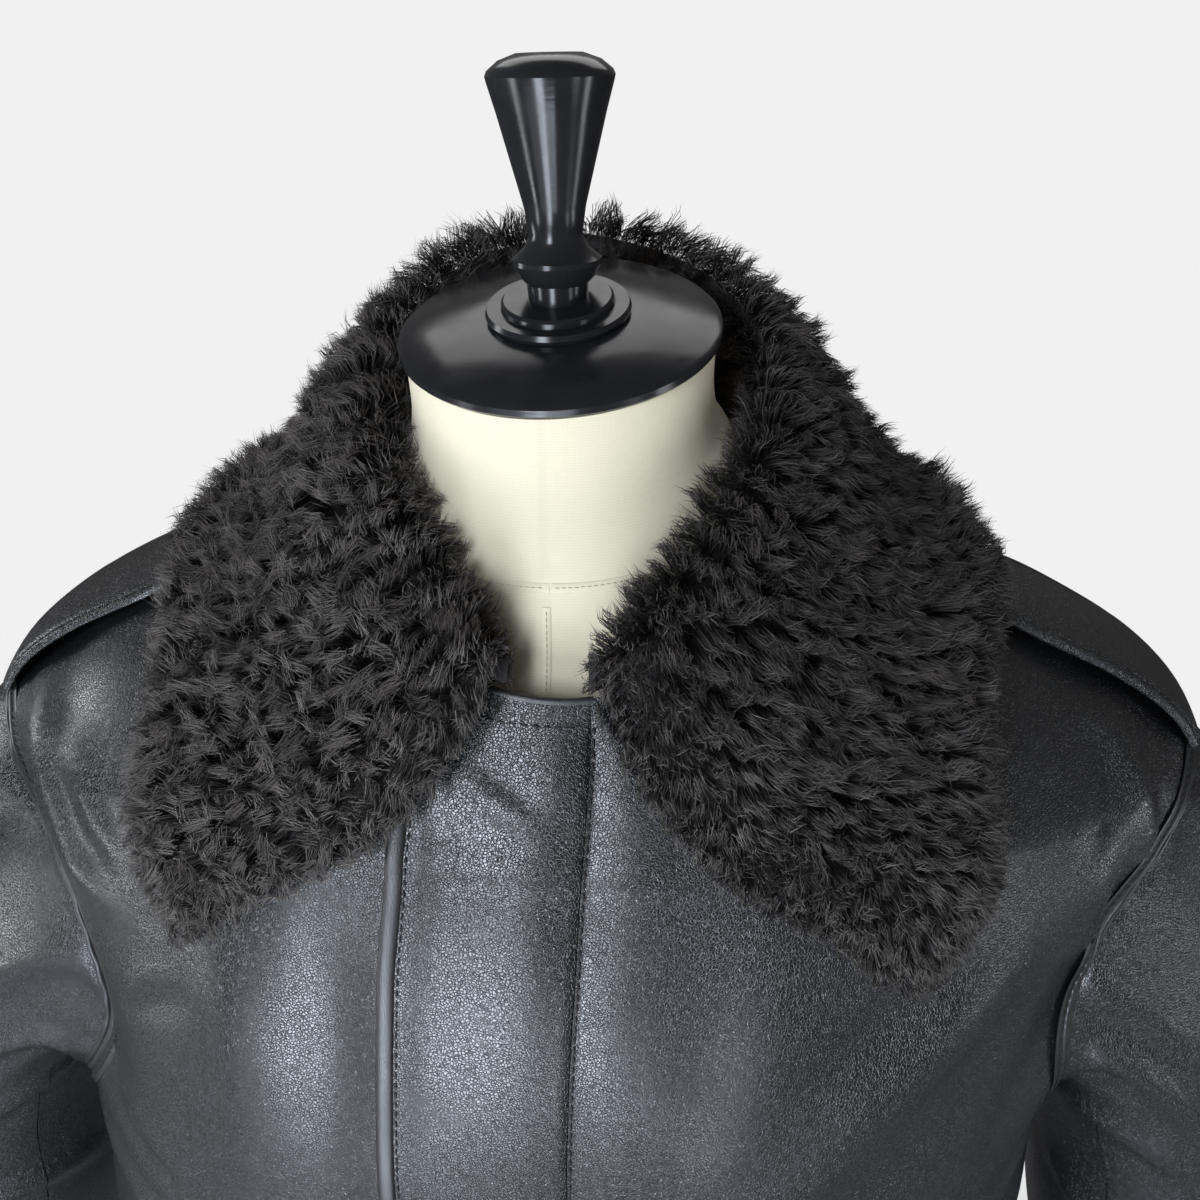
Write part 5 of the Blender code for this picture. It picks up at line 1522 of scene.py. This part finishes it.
def build_pile(skin_piece):
    """Locks of wool: each strand is a thin curved ribbon that leans into its lock's tip."""
    look = bpy.context.scene.jacket_look
    rng = np.random.default_rng(7)
    _, _, _, skin, normal, outwards, endwards = collar_surface()
    rows, columns = skin.shape[:2]

    lock_row, lock_column = spread_roots(skin, 24000, rng)
    lock_root = read_grid(skin, lock_row, lock_column)
    kept = thinned(lock_root, look.lock_spacing)
    lock_row, lock_column, lock_root = lock_row[kept], lock_column[kept], lock_root[kept]
    locks = KDTree(len(lock_root))
    for k, point in enumerate(lock_root):
        locks.insert(point, k)
    locks.balance()

    row, column = spread_roots(skin, look.strand_count, rng, 0.8)
    root = read_grid(skin, row, column)
    lock = np.array([locks.find(point)[1] for point in root])
    up = unit(read_grid(normal, row, column))
    out = unit(read_grid(outwards, row, column))
    along = unit(read_grid(endwards, row, column))
    at_step = row / (rows - 1)
    at_share = column / (columns - 1) * 2 - 1  # -1 at the right leaf's tip, +1 at the left one's
    towards_tip = np.sign(at_share)[:, None] * along

    edge_fan = smooth_step((at_step - 0.86) / 0.14) * math.radians(look.edge_fan)
    end_fan = smooth_step((np.abs(at_share) - 0.95) / 0.05) * math.radians(look.edge_fan - 16)
    rise = (np.cos(edge_fan) * np.cos(end_fan))[:, None] * up
    rise = unit(rise + np.sin(edge_fan)[:, None] * out + np.sin(end_fan)[:, None] * towards_tip)

    tight_curl_and_painted_light = smooth_step((0.1 - at_share) / 0.4)  # the right leaf's pile curls more, and is painted lighter as painted light
    lock_rng = rng.normal(size=(len(lock_root), 4))
    swirl = lock_swirl(lock_root, rng)
    flow_out = 0.40 - 0.14 * tight_curl_and_painted_light + 0.14 * lock_rng[lock, 0]
    flow_tip = 0.22 - 0.10 * tight_curl_and_painted_light + 0.14 * lock_rng[lock, 1]
    curl = 0.24 + 0.12 * tight_curl_and_painted_light
    lean = (flow_out + curl * np.cos(swirl[lock]))[:, None] * out
    lean = lean + flow_tip[:, None] * towards_tip + (curl * np.sin(swirl[lock]))[:, None] * along
    inside_roll = smooth_step((0.30 - at_step) / 0.2)[:, None]
    near_end = smooth_step((np.maximum(at_step, np.abs(at_share)) - 0.85) / 0.1)[:, None]
    lean = lean * (1 - 0.55 * inside_roll) * (1 - 0.6 * near_end)

    from_edge = np.sqrt(np.clip((1.01 - at_step) / 0.12, 0, 1))
    from_end = np.sqrt(np.clip((1.01 - np.abs(at_share)) / 0.07, 0, 1))
    depth = PILE_REACH * np.sqrt(np.clip(at_step / 0.10, 0.12, 1))
    depth = depth * np.maximum(from_edge, 0.42) * np.maximum(from_end, 0.34)
    stray = np.where(rng.random(len(row)) < 0.03, 1.12, 1.0)
    length = depth * look.pile_length * (0.88 + 0.16 * rng.random(len(row))) * stray
    length = length * (1 + 0.10 * np.clip(lock_rng[lock, 2], -2, 2))
    heading = unit(rise + lean)
    straight = root + length[:, None] * heading
    lock_tip = lock_root[lock] + length[:, None] * heading * 1.02
    gather = look.gather * np.clip(0.8 + 0.3 * lock_rng[lock, 3], 0.2, 1.2) / stray**2
    jitter = rng.normal(size=(len(row), 3)) * 0.0011
    tip = straight + gather[:, None] * (lock_tip - straight) + jitter
    bow = swirl[lock] + 1.6
    bow = (np.cos(bow)[:, None] * out + np.sin(bow)[:, None] * along) * (0.0012 + 0.0012 * tight_curl_and_painted_light)[:, None]
    bend = bow + rng.normal(size=(len(row), 3)) * 0.0005
    tip = tip - 0.7 * bow
    middle = root + 0.84 * length[:, None] * unit(rise + 0.72 * lean) + bend
    middle = middle + 0.70 * gather[:, None] * (lock_root[lock] - root)
    shoulder = root + 0.50 * length[:, None] * unit(rise + 0.22 * lean)
    shoulder = shoulder + 0.18 * gather[:, None] * (lock_root[lock] - root) - 0.4 * bend

    run = unit(tip - root)
    flat = unit(np.cross(run, up))
    twist = rng.normal(size=len(row)) * 0.7
    side = np.cos(twist)[:, None] * flat + np.sin(twist)[:, None] * np.cross(run, flat)
    half = side * (0.5 * look.strand_width * (0.75 + 0.5 * rng.random(len(row))))[:, None]
    points = [root, shoulder - half, shoulder + half, middle - half, middle + half, tip]
    points = np.stack(points, axis=1)
    # Painted light: 0.25 of the right leaf's share lifts its pile's tone, so that leaf is painted lighter
    # as if lit more strongly; the rest of the tone is random per lock and per strand.
    tone = np.clip(0.40 + 0.25 * tight_curl_and_painted_light + 0.20 * lock_rng[lock, 0] + 0.16 * rng.normal(size=len(row)), 0, 1)
    reach = np.array([0.0, 0.48, 0.48, 0.82, 0.82, 1.0])
    uv = np.stack([np.repeat(tone[:, None], 6, 1), np.repeat(reach[None], len(row), 0)], axis=2)
    triangles = np.array([[0, 1, 2], [1, 4, 2], [1, 3, 4], [3, 5, 4]])
    parts = (
        ("pile_right_leaf", at_share < -0.52),
        ("pile_right_back", (at_share >= -0.52) & (at_share < 0)),
        ("pile_left_back", (at_share >= 0) & (at_share < 0.52)),
        ("pile_left_leaf", at_share >= 0.52),
    )
    for name, mask in parts:
        count = int(mask.sum())
        faces = triangles[None] + (np.arange(count) * 6)[:, None, None]
        faces, tones = faces.reshape(-1, 3), uv[mask].reshape(-1, 2)
        piece = put_mesh(name, points[mask], faces, finish("Sheepskin pile"), tones, False)
        finish_piece(piece, "shearling")


# ---------------------------------------------------------------- the dress form
def form_droop(x, level):
    """How far the form's shoulders follow the jacket's slope."""
    under = smooth_step((level - 0.60) / 0.26) * (1 - smooth_step((level - 0.93) / 0.04))
    return SHOULDER_DROOP * under * (x + 0.10)


def form_point(turn, level):
    """The form's surface, with its neck leaning a little forwards and aside."""
    turn, level = np.broadcast_arrays(np.asarray(turn, float), np.asarray(level, float))
    place = ring_point(FORM_RINGS, turn, level)
    aside = math.tan(NECK_SIDE_TILT) * smooth_step((level - 0.92) / 0.08)
    place[..., 2] += place[..., 0] * aside - form_droop(place[..., 0], level)
    return place


def build_form():
    levels = np.concatenate([np.linspace(0, 0.78, 40)[:-1], np.linspace(0.78, 1.0, 64)])
    turns = np.arange(0, 360, 3.0)
    turn, level = np.meshgrid(turns, levels)
    outer = form_point(turn, level)
    rows, columns = outer.shape[:2]
    faces = grid_faces(rows, columns, closed=True)
    centres = np.array([outer[0].mean(0), outer[-1].mean(0)])
    points = np.concatenate([outer.reshape(-1, 3), centres])
    k = np.arange(columns)
    after = (k + 1) % columns
    low = np.stack([after, k, np.full(columns, rows * columns)], 1)
    top = (rows - 1) * columns
    high = np.stack([top + k, top + after, np.full(columns, rows * columns + 1)], 1)
    triangles = np.concatenate([faces[:, [0, 1, 2]], faces[:, [0, 2, 3]], low, high])
    across = np.radians(turn) * 0.13
    uv = np.stack([across.ravel(), outer[..., 2].ravel()], 1)
    uv = np.concatenate([uv, uv[:1], uv[-1:]])
    made = put_mesh("form_cotton", points, triangles, finish("Cream cotton"), uv)
    made.data.set_sharp_from_angle(angle=math.radians(50))
    finish_piece(made, "canvas", "form_torso")
    seams, threads = [], []
    count = 140
    lines = (
        (np.linspace(-6.0, -1.5, count), np.linspace(0.62, 0.950, count)),
        (np.full(count, 180.0), np.linspace(0.62, 0.942, count)),
        (np.linspace(0, 359.5, count), np.full(count, 0.9555)),
    )
    for turn, level in lines:
        path = form_point(turn, level)
        normal = unit(np.cross(form_point(turn + 1, level) - form_point(turn - 1, level),
                               form_point(turn, level + 0.003) - form_point(turn, level - 0.003)))
        seams.append(bead(path, normal, 0.0020, 0.0007, 0.0003, 7))
        shown = slice(100, None) if np.ptp(level) else slice(None)
        threads.append(stitches((path + 0.0004 * normal)[shown], normal[shown], 0.0022, 0.0016, 0.0005))
    finish_piece(joined_beads("form_seams", seams, finish("Cream cotton")), "canvas")
    finish_piece(stitched("form_seam_stitches", threads, finish("Cotton thread")), "canvas")


# ---------------------------------------------------------------- turned wood
def turned_piece(name, profile, seat):
    """A turned solid: a circle is drawn out and sized to each radius of the profile in turn."""
    rows = [row for row in profile if row.radius > 0]
    bpy.ops.object.select_all(action="DESELECT")
    bpy.ops.mesh.primitive_circle_add(vertices=96, radius=rows[0].radius, fill_type="NGON")
    made = bpy.context.active_object
    made.name = name
    bpy.ops.object.mode_set(mode="EDIT")
    bpy.ops.mesh.select_mode(type="FACE")
    bpy.ops.mesh.select_all(action="SELECT")
    for before, row in zip(rows, rows[1:]):
        rise = {"value": (0, 0, row.height - before.height)}
        bpy.ops.mesh.extrude_region_move(TRANSFORM_OT_translate=rise)
        share = row.radius / before.radius
        bpy.ops.transform.resize(value=(share, share, 1.0), center_override=(0, 0, 0))
    bpy.ops.mesh.select_all(action="SELECT")
    bpy.ops.mesh.normals_make_consistent(inside=False)
    bpy.ops.object.mode_set(mode="OBJECT")
    made.data.transform(seat @ made.matrix_world)
    made.matrix_world = Matrix.Identity(4)
    bpy.ops.object.shade_smooth_by_angle(angle=math.radians(32))
    made.data.materials.clear()
    made.data.materials.append(finish("Black lacquer"))
    return finish_piece(made, "black_wood", name.replace("_lacquered", ""))


def build_woodwork():
    lean = Euler((NECK_TILT, -NECK_SIDE_TILT, 0.0)).to_matrix().to_4x4()
    up = lean.to_3x3() @ Vector((0.0, 0.0, 1.0))
    seat = Vector((0.0, 0.0, NECK_TOP)) + SEAM_GAP * up
    turned_piece("neck_cap_lacquered", NECK_CAP, Matrix.Translation(seat) @ lean)
    seat = seat + (NECK_CAP[-1].height + SEAM_GAP) * up
    turned_piece("cap_rings_lacquered", CAP_RINGS, Matrix.Translation(seat) @ lean)
    sunk = FINIAL[1].radius * math.tan(math.hypot(NECK_TILT, NECK_SIDE_TILT))
    turned_piece("finial_lacquered", FINIAL, Matrix.Translation(seat + Vector((0.0, 0.0, sunk))))
    turned_piece("foot_lacquered", FOOT, Matrix.Identity(4))


# ---------------------------------------------------------------- stage
Lamp = namedtuple("Lamp", "name place aim colour power width height")
DAYLIGHT = (0.81, 0.885, 1.0)
SIDE_LIGHT = (0.94, 0.96, 1.0)
WHITE = (1.0, 1.0, 1.0)
LAMPS = (
    Lamp("window_low", (-0.30, -1.15, 0.30), (-0.03, -0.10, 0.60), DAYLIGHT, 6.6, 0.30, 0.50),
    Lamp("window_tall", (-0.38, -1.15, 0.75), (-0.03, -0.10, 0.64), DAYLIGHT, 6.0, 0.32, 1.40),
    Lamp("window_high", (-0.42, -1.10, 1.15), (-0.03, -0.10, 0.66), DAYLIGHT, 9.4, 0.30, 0.60),
    Lamp("table_glow", (0.00, -1.00, 0.06), (0.00, -0.12, 0.55), DAYLIGHT, 4.0, 0.50, 0.30),
    Lamp("low_left_lamp", (-0.55, -0.85, 0.10), (-0.05, -0.10, 0.55), DAYLIGHT, 1.0, 0.50, 0.40),
    Lamp("arm_left_lamp", (-1.20, -0.52, 0.36), (-0.30, -0.05, 0.50), SIDE_LIGHT, 2.8, 0.22, 0.40),
    Lamp("arm_right_lamp", (1.02, -0.70, 0.40), (0.28, -0.08, 0.50), SIDE_LIGHT, 1.1, 0.26, 0.40),
    Lamp("side_right_lamp", (1.22, -0.20, 0.36), (0.28, -0.06, 0.52), SIDE_LIGHT, 1.7, 0.22, 0.40),
    Lamp("back_left_lamp", (-1.16, 0.16, 0.84), (-0.26, -0.02, 0.62), SIDE_LIGHT, 2.4, 0.26, 0.40),
    Lamp("top_back_lamp", (0.00, 0.70, 1.52), (0.00, -0.02, 0.80), WHITE, 3.4, 1.20, 0.45),
)


def floor_material(backdrop):
    """A pale floor that takes shadows near the object and fades into the studio's light further out; in
    reflections it is painted darker, as painted shade.
    """
    made, tree, shader = new_material("Pale floor", (0.86, 0.86, 0.86), 0.95)
    shader.inputs["Specular IOR Level"].default_value = 0.1
    link = tree.links.new
    place = add_node(tree, "ShaderNodeTexCoord", -1000, -200)
    away = add_node(tree, "ShaderNodeVectorMath", -800, -200, operation="LENGTH")
    link(place.outputs["Object"], away.inputs[0])
    fade = add_node(tree, "ShaderNodeMapRange", -600, -200, interpolation_type="SMOOTHSTEP")
    for key, value in (("From Min", 0.10), ("From Max", 0.55)):
        fade.inputs[key].default_value = value
    link(away.outputs["Value"], fade.inputs["Value"])
    # Painted shade: seen in reflections the floor is painted 0.33 grey instead of 0.86, so the leather
    # mirrors a darker room.
    dim = add_node(tree, "ShaderNodeMix", -300, 250, data_type="RGBA")
    dim.inputs[6].default_value = (0.86, 0.86, 0.86, 1.0)
    dim.inputs[7].default_value = (0.33, 0.33, 0.335, 1.0)
    link(dim.outputs[2], shader.inputs["Base Color"])
    rays = add_node(tree, "ShaderNodeLightPath", -600, -500)
    link(rays.outputs["Is Glossy Ray"], dim.inputs["Factor"])
    factor = maths(tree, "MULTIPLY", -380, -300, fade.outputs[0], rays.outputs["Is Camera Ray"])
    glow = add_node(tree, "ShaderNodeEmission", -200, -300)
    glow.inputs["Color"].default_value = (backdrop, backdrop, backdrop, 1.0)
    mix = add_node(tree, "ShaderNodeMixShader", 100, 0)
    link(factor, mix.inputs[0])
    link(shader.outputs[0], mix.inputs[1])
    link(glow.outputs[0], mix.inputs[2])
    link(mix.outputs[0], tree.nodes["Material Output"].inputs["Surface"])
    return made


def studio_world(backdrop, room_light):
    """A flat backdrop for the camera, and dimmer light from all round for the object."""
    world = bpy.data.worlds.new("Studio")
    world.use_nodes = True
    tree = world.node_tree
    room = tree.nodes["Background"]
    room.inputs["Color"].default_value = (0.99, 0.99, 1.0, 1.0)
    room.inputs["Strength"].default_value = room_light
    wall = add_node(tree, "ShaderNodeBackground", -200, -200)
    wall.inputs["Strength"].default_value = backdrop
    wall.inputs["Color"].default_value = (1.0, 1.0, 1.0, 1.0)
    rays = add_node(tree, "ShaderNodeLightPath", -200, 300)
    mix = add_node(tree, "ShaderNodeMixShader", 100, 0)
    tree.links.new(rays.outputs["Is Camera Ray"], mix.inputs[0])
    tree.links.new(room.outputs[0], mix.inputs[1])
    tree.links.new(wall.outputs[0], mix.inputs[2])
    tree.links.new(mix.outputs[0], tree.nodes["World Output"].inputs["Surface"])
    return world


def build_stage():
    look = bpy.context.scene.jacket_look
    scene = bpy.context.scene
    bpy.ops.object.select_all(action="DESELECT")
    bpy.ops.mesh.primitive_plane_add(size=60.0, location=(0, 0, -0.0005))
    floor = bpy.context.active_object
    floor.name = "floor"
    floor.data.materials.append(floor_material(look.backdrop))
    scene.world = studio_world(look.backdrop, look.room_light)
    for lamp in LAMPS:
        data = bpy.data.lights.new(lamp.name, "AREA")
        data.energy = lamp.power * look.lamp_power
        data.color = lamp.colour
        data.shape = "RECTANGLE"
        data.size, data.size_y = lamp.width, lamp.height
        made = bpy.data.objects.new(lamp.name, data)
        aim = Vector(lamp.aim) - Vector(lamp.place)
        made.location = lamp.place
        made.rotation_euler = aim.to_track_quat("-Z", "Y").to_euler()
        made.visible_camera = False
        scene.collection.objects.link(made)
    eye, target = Vector((0.0456, -0.4042, 0.9018)), Vector((0.0090, 0.0379, 0.6711))
    data = bpy.data.cameras.new("camera")
    data.lens, data.sensor_width, data.clip_start = 33.5, 36.0, 0.01
    camera = bpy.data.objects.new("camera", data)
    aim = (eye - target).to_track_quat("Z", "Y").to_matrix() @ Matrix.Rotation(math.radians(-1.31), 3, "Z")
    camera.matrix_world = Matrix.Translation(eye) @ aim.to_4x4()
    scene.collection.objects.link(camera)
    scene.camera = camera
    scene.view_settings.view_transform = "Standard"


# ---------------------------------------------------------------- add-on
class JacketLook(bpy.types.PropertyGroup):
    leather: FloatVectorProperty(
        name="Leather", description="Colour of the leather", subtype="COLOR",
        default=(0.0058, 0.0060, 0.0066), min=0.0, max=1.0,
    )
    cotton: FloatVectorProperty(
        name="Cotton", description="Colour of the form's cover", subtype="COLOR",
        default=(0.79, 0.715, 0.525), min=0.0, max=1.0,
    )
    pile_dark: FloatVectorProperty(
        name="Pile", description="Colour of the pile half way up", subtype="COLOR",
        default=(0.0098, 0.0086, 0.0080), min=0.0, max=1.0,
    )
    pile_tip: FloatVectorProperty(
        name="Pile Tips", description="Colour of the pile's tips", subtype="COLOR",
        default=(0.100, 0.087, 0.079), min=0.0, max=1.0,
    )
    pebble: FloatProperty(
        name="Pebble Size", description="Width of one pebble of the grain", subtype="DISTANCE",
        default=0.0010, min=0.0005, max=0.01,
    )
    strand_count: IntProperty(
        name="Strands", description="Strands in the whole collar's pile",
        default=134000, min=1000, max=180000,
    )
    strand_width: FloatProperty(
        name="Strand Width", description="Width of a strand at its root", subtype="DISTANCE",
        default=0.00034, min=0.0001, max=0.003,
    )
    lock_spacing: FloatProperty(
        name="Lock Spacing", description="Least distance between two locks", subtype="DISTANCE",
        default=0.0032, min=0.002, max=0.03,
    )
    pile_length: FloatProperty(
        name="Pile Length", description="Length of the pile against the depth of its solid",
        default=1.14, min=0.5, max=2.0,
    )
    gather: FloatProperty(
        name="Gather", description="How closely strands gather at their lock's tip",
        default=0.46, min=0.0, max=1.0,
    )
    edge_fan: FloatProperty(
        name="Edge Fan", description="How far the pile turns out at the collar's edge, in degrees",
        default=60.0, min=0.0, max=90.0,
    )
    stitch_pitch: FloatProperty(
        name="Stitch Pitch", description="Length from one stitch to the next", subtype="DISTANCE",
        default=0.0039, min=0.002, max=0.01,
    )
    waist_ribs: IntProperty(
        name="Waist Ribs", description="Ribs round the waistband",
        default=170, min=20, max=400,
    )
    cuff_ribs: IntProperty(
        name="Cuff Ribs", description="Ribs round a cuff",
        default=46, min=10, max=120,
    )
    room_light: FloatProperty(
        name="Room Light", description="Strength of the light all round",
        default=0.15, min=0.0,
    )
    backdrop: FloatProperty(
        name="Backdrop", description="Brightness of the plain backdrop",
        default=0.879, min=0.0,
    )
    lamp_power: FloatProperty(
        name="Lamp Power", description="Strength of all the lamps",
        default=1.0, min=0.0,
    )


class JACKET_OT_fronts(bpy.types.Operator):
    """Build the two front panels and the storm placket"""

    bl_idname = "jacket.fronts"
    bl_label = "Fronts and Placket"
    bl_options = {"REGISTER", "UNDO"}

    def execute(self, context):
        build_fronts()
        build_placket()
        return {"FINISHED"}


class JACKET_OT_back(bpy.types.Operator):
    """Build the back panel"""

    bl_idname = "jacket.back"
    bl_label = "Back"
    bl_options = {"REGISTER", "UNDO"}

    def execute(self, context):
        build_back()
        return {"FINISHED"}


class JACKET_OT_sleeves(bpy.types.Operator):
    """Build the top and under panel of both sleeves"""

    bl_idname = "jacket.sleeves"
    bl_label = "Sleeves"
    bl_options = {"REGISTER", "UNDO"}

    def execute(self, context):
        build_sleeves()
        return {"FINISHED"}


class JACKET_OT_knit(bpy.types.Operator):
    """Build the ribbed waistband and cuffs"""

    bl_idname = "jacket.knit"
    bl_label = "Waistband and Cuffs"
    bl_options = {"REGISTER", "UNDO"}

    def execute(self, context):
        build_knit()
        return {"FINISHED"}


class JACKET_OT_straps(bpy.types.Operator):
    """Build the two shoulder straps"""

    bl_idname = "jacket.straps"
    bl_label = "Shoulder Straps"
    bl_options = {"REGISTER", "UNDO"}

    def execute(self, context):
        build_straps()
        return {"FINISHED"}


class JACKET_OT_seams(bpy.types.Operator):
    """Build the rolled edges, lapped seams and stitches"""

    bl_idname = "jacket.seams"
    bl_label = "Seams and Stitches"
    bl_options = {"REGISTER", "UNDO"}

    def execute(self, context):
        build_welts()
        build_stitches()
        return {"FINISHED"}


class JACKET_OT_collar(bpy.types.Operator):
    """Build the sheepskin collar and its pile"""

    bl_idname = "jacket.collar"
    bl_label = "Shearling Collar"
    bl_options = {"REGISTER", "UNDO"}

    def execute(self, context):
        build_pile(build_collar_skin())
        return {"FINISHED"}


class JACKET_OT_form(bpy.types.Operator):
    """Build the cotton-covered form and its turned wood"""

    bl_idname = "jacket.form"
    bl_label = "Dress Form"
    bl_options = {"REGISTER", "UNDO"}

    def execute(self, context):
        build_form()
        build_woodwork()
        return {"FINISHED"}


class JACKET_OT_stage(bpy.types.Operator):
    """Build the floor, the lights and the camera"""

    bl_idname = "jacket.stage"
    bl_label = "Stage"
    bl_options = {"REGISTER", "UNDO"}

    def execute(self, context):
        build_stage()
        return {"FINISHED"}


OPERATORS = (
    JACKET_OT_fronts,
    JACKET_OT_back,
    JACKET_OT_sleeves,
    JACKET_OT_knit,
    JACKET_OT_straps,
    JACKET_OT_seams,
    JACKET_OT_collar,
    JACKET_OT_form,
    JACKET_OT_stage,
)


class JACKET_PT_panel(bpy.types.Panel):
    bl_idname = "JACKET_PT_panel"
    bl_label = "Flight Jacket"
    bl_space_type = "VIEW_3D"
    bl_region_type = "UI"
    bl_category = "Jacket"

    def draw(self, context):
        column = self.layout.column(align=True)
        for each in OPERATORS:
            column.operator(each.bl_idname)
        look = context.scene.jacket_look
        settings = self.layout.column(align=True)
        for name in JacketLook.__annotations__:
            settings.prop(look, name)


CLASSES = (JacketLook, *OPERATORS, JACKET_PT_panel)


def register():
    for each in CLASSES:
        bpy.utils.register_class(each)
    bpy.types.Scene.jacket_look = PointerProperty(type=JacketLook)


def unregister():
    del bpy.types.Scene.jacket_look
    for each in reversed(CLASSES):
        bpy.utils.unregister_class(each)


def main():
    register()
    bpy.ops.jacket.fronts()
    bpy.ops.jacket.back()
    bpy.ops.jacket.sleeves()
    bpy.ops.jacket.knit()
    bpy.ops.jacket.straps()
    bpy.ops.jacket.seams()
    bpy.ops.jacket.collar()
    bpy.ops.jacket.form()
    bpy.ops.jacket.stage()


if __name__ == "__main__":
    main()
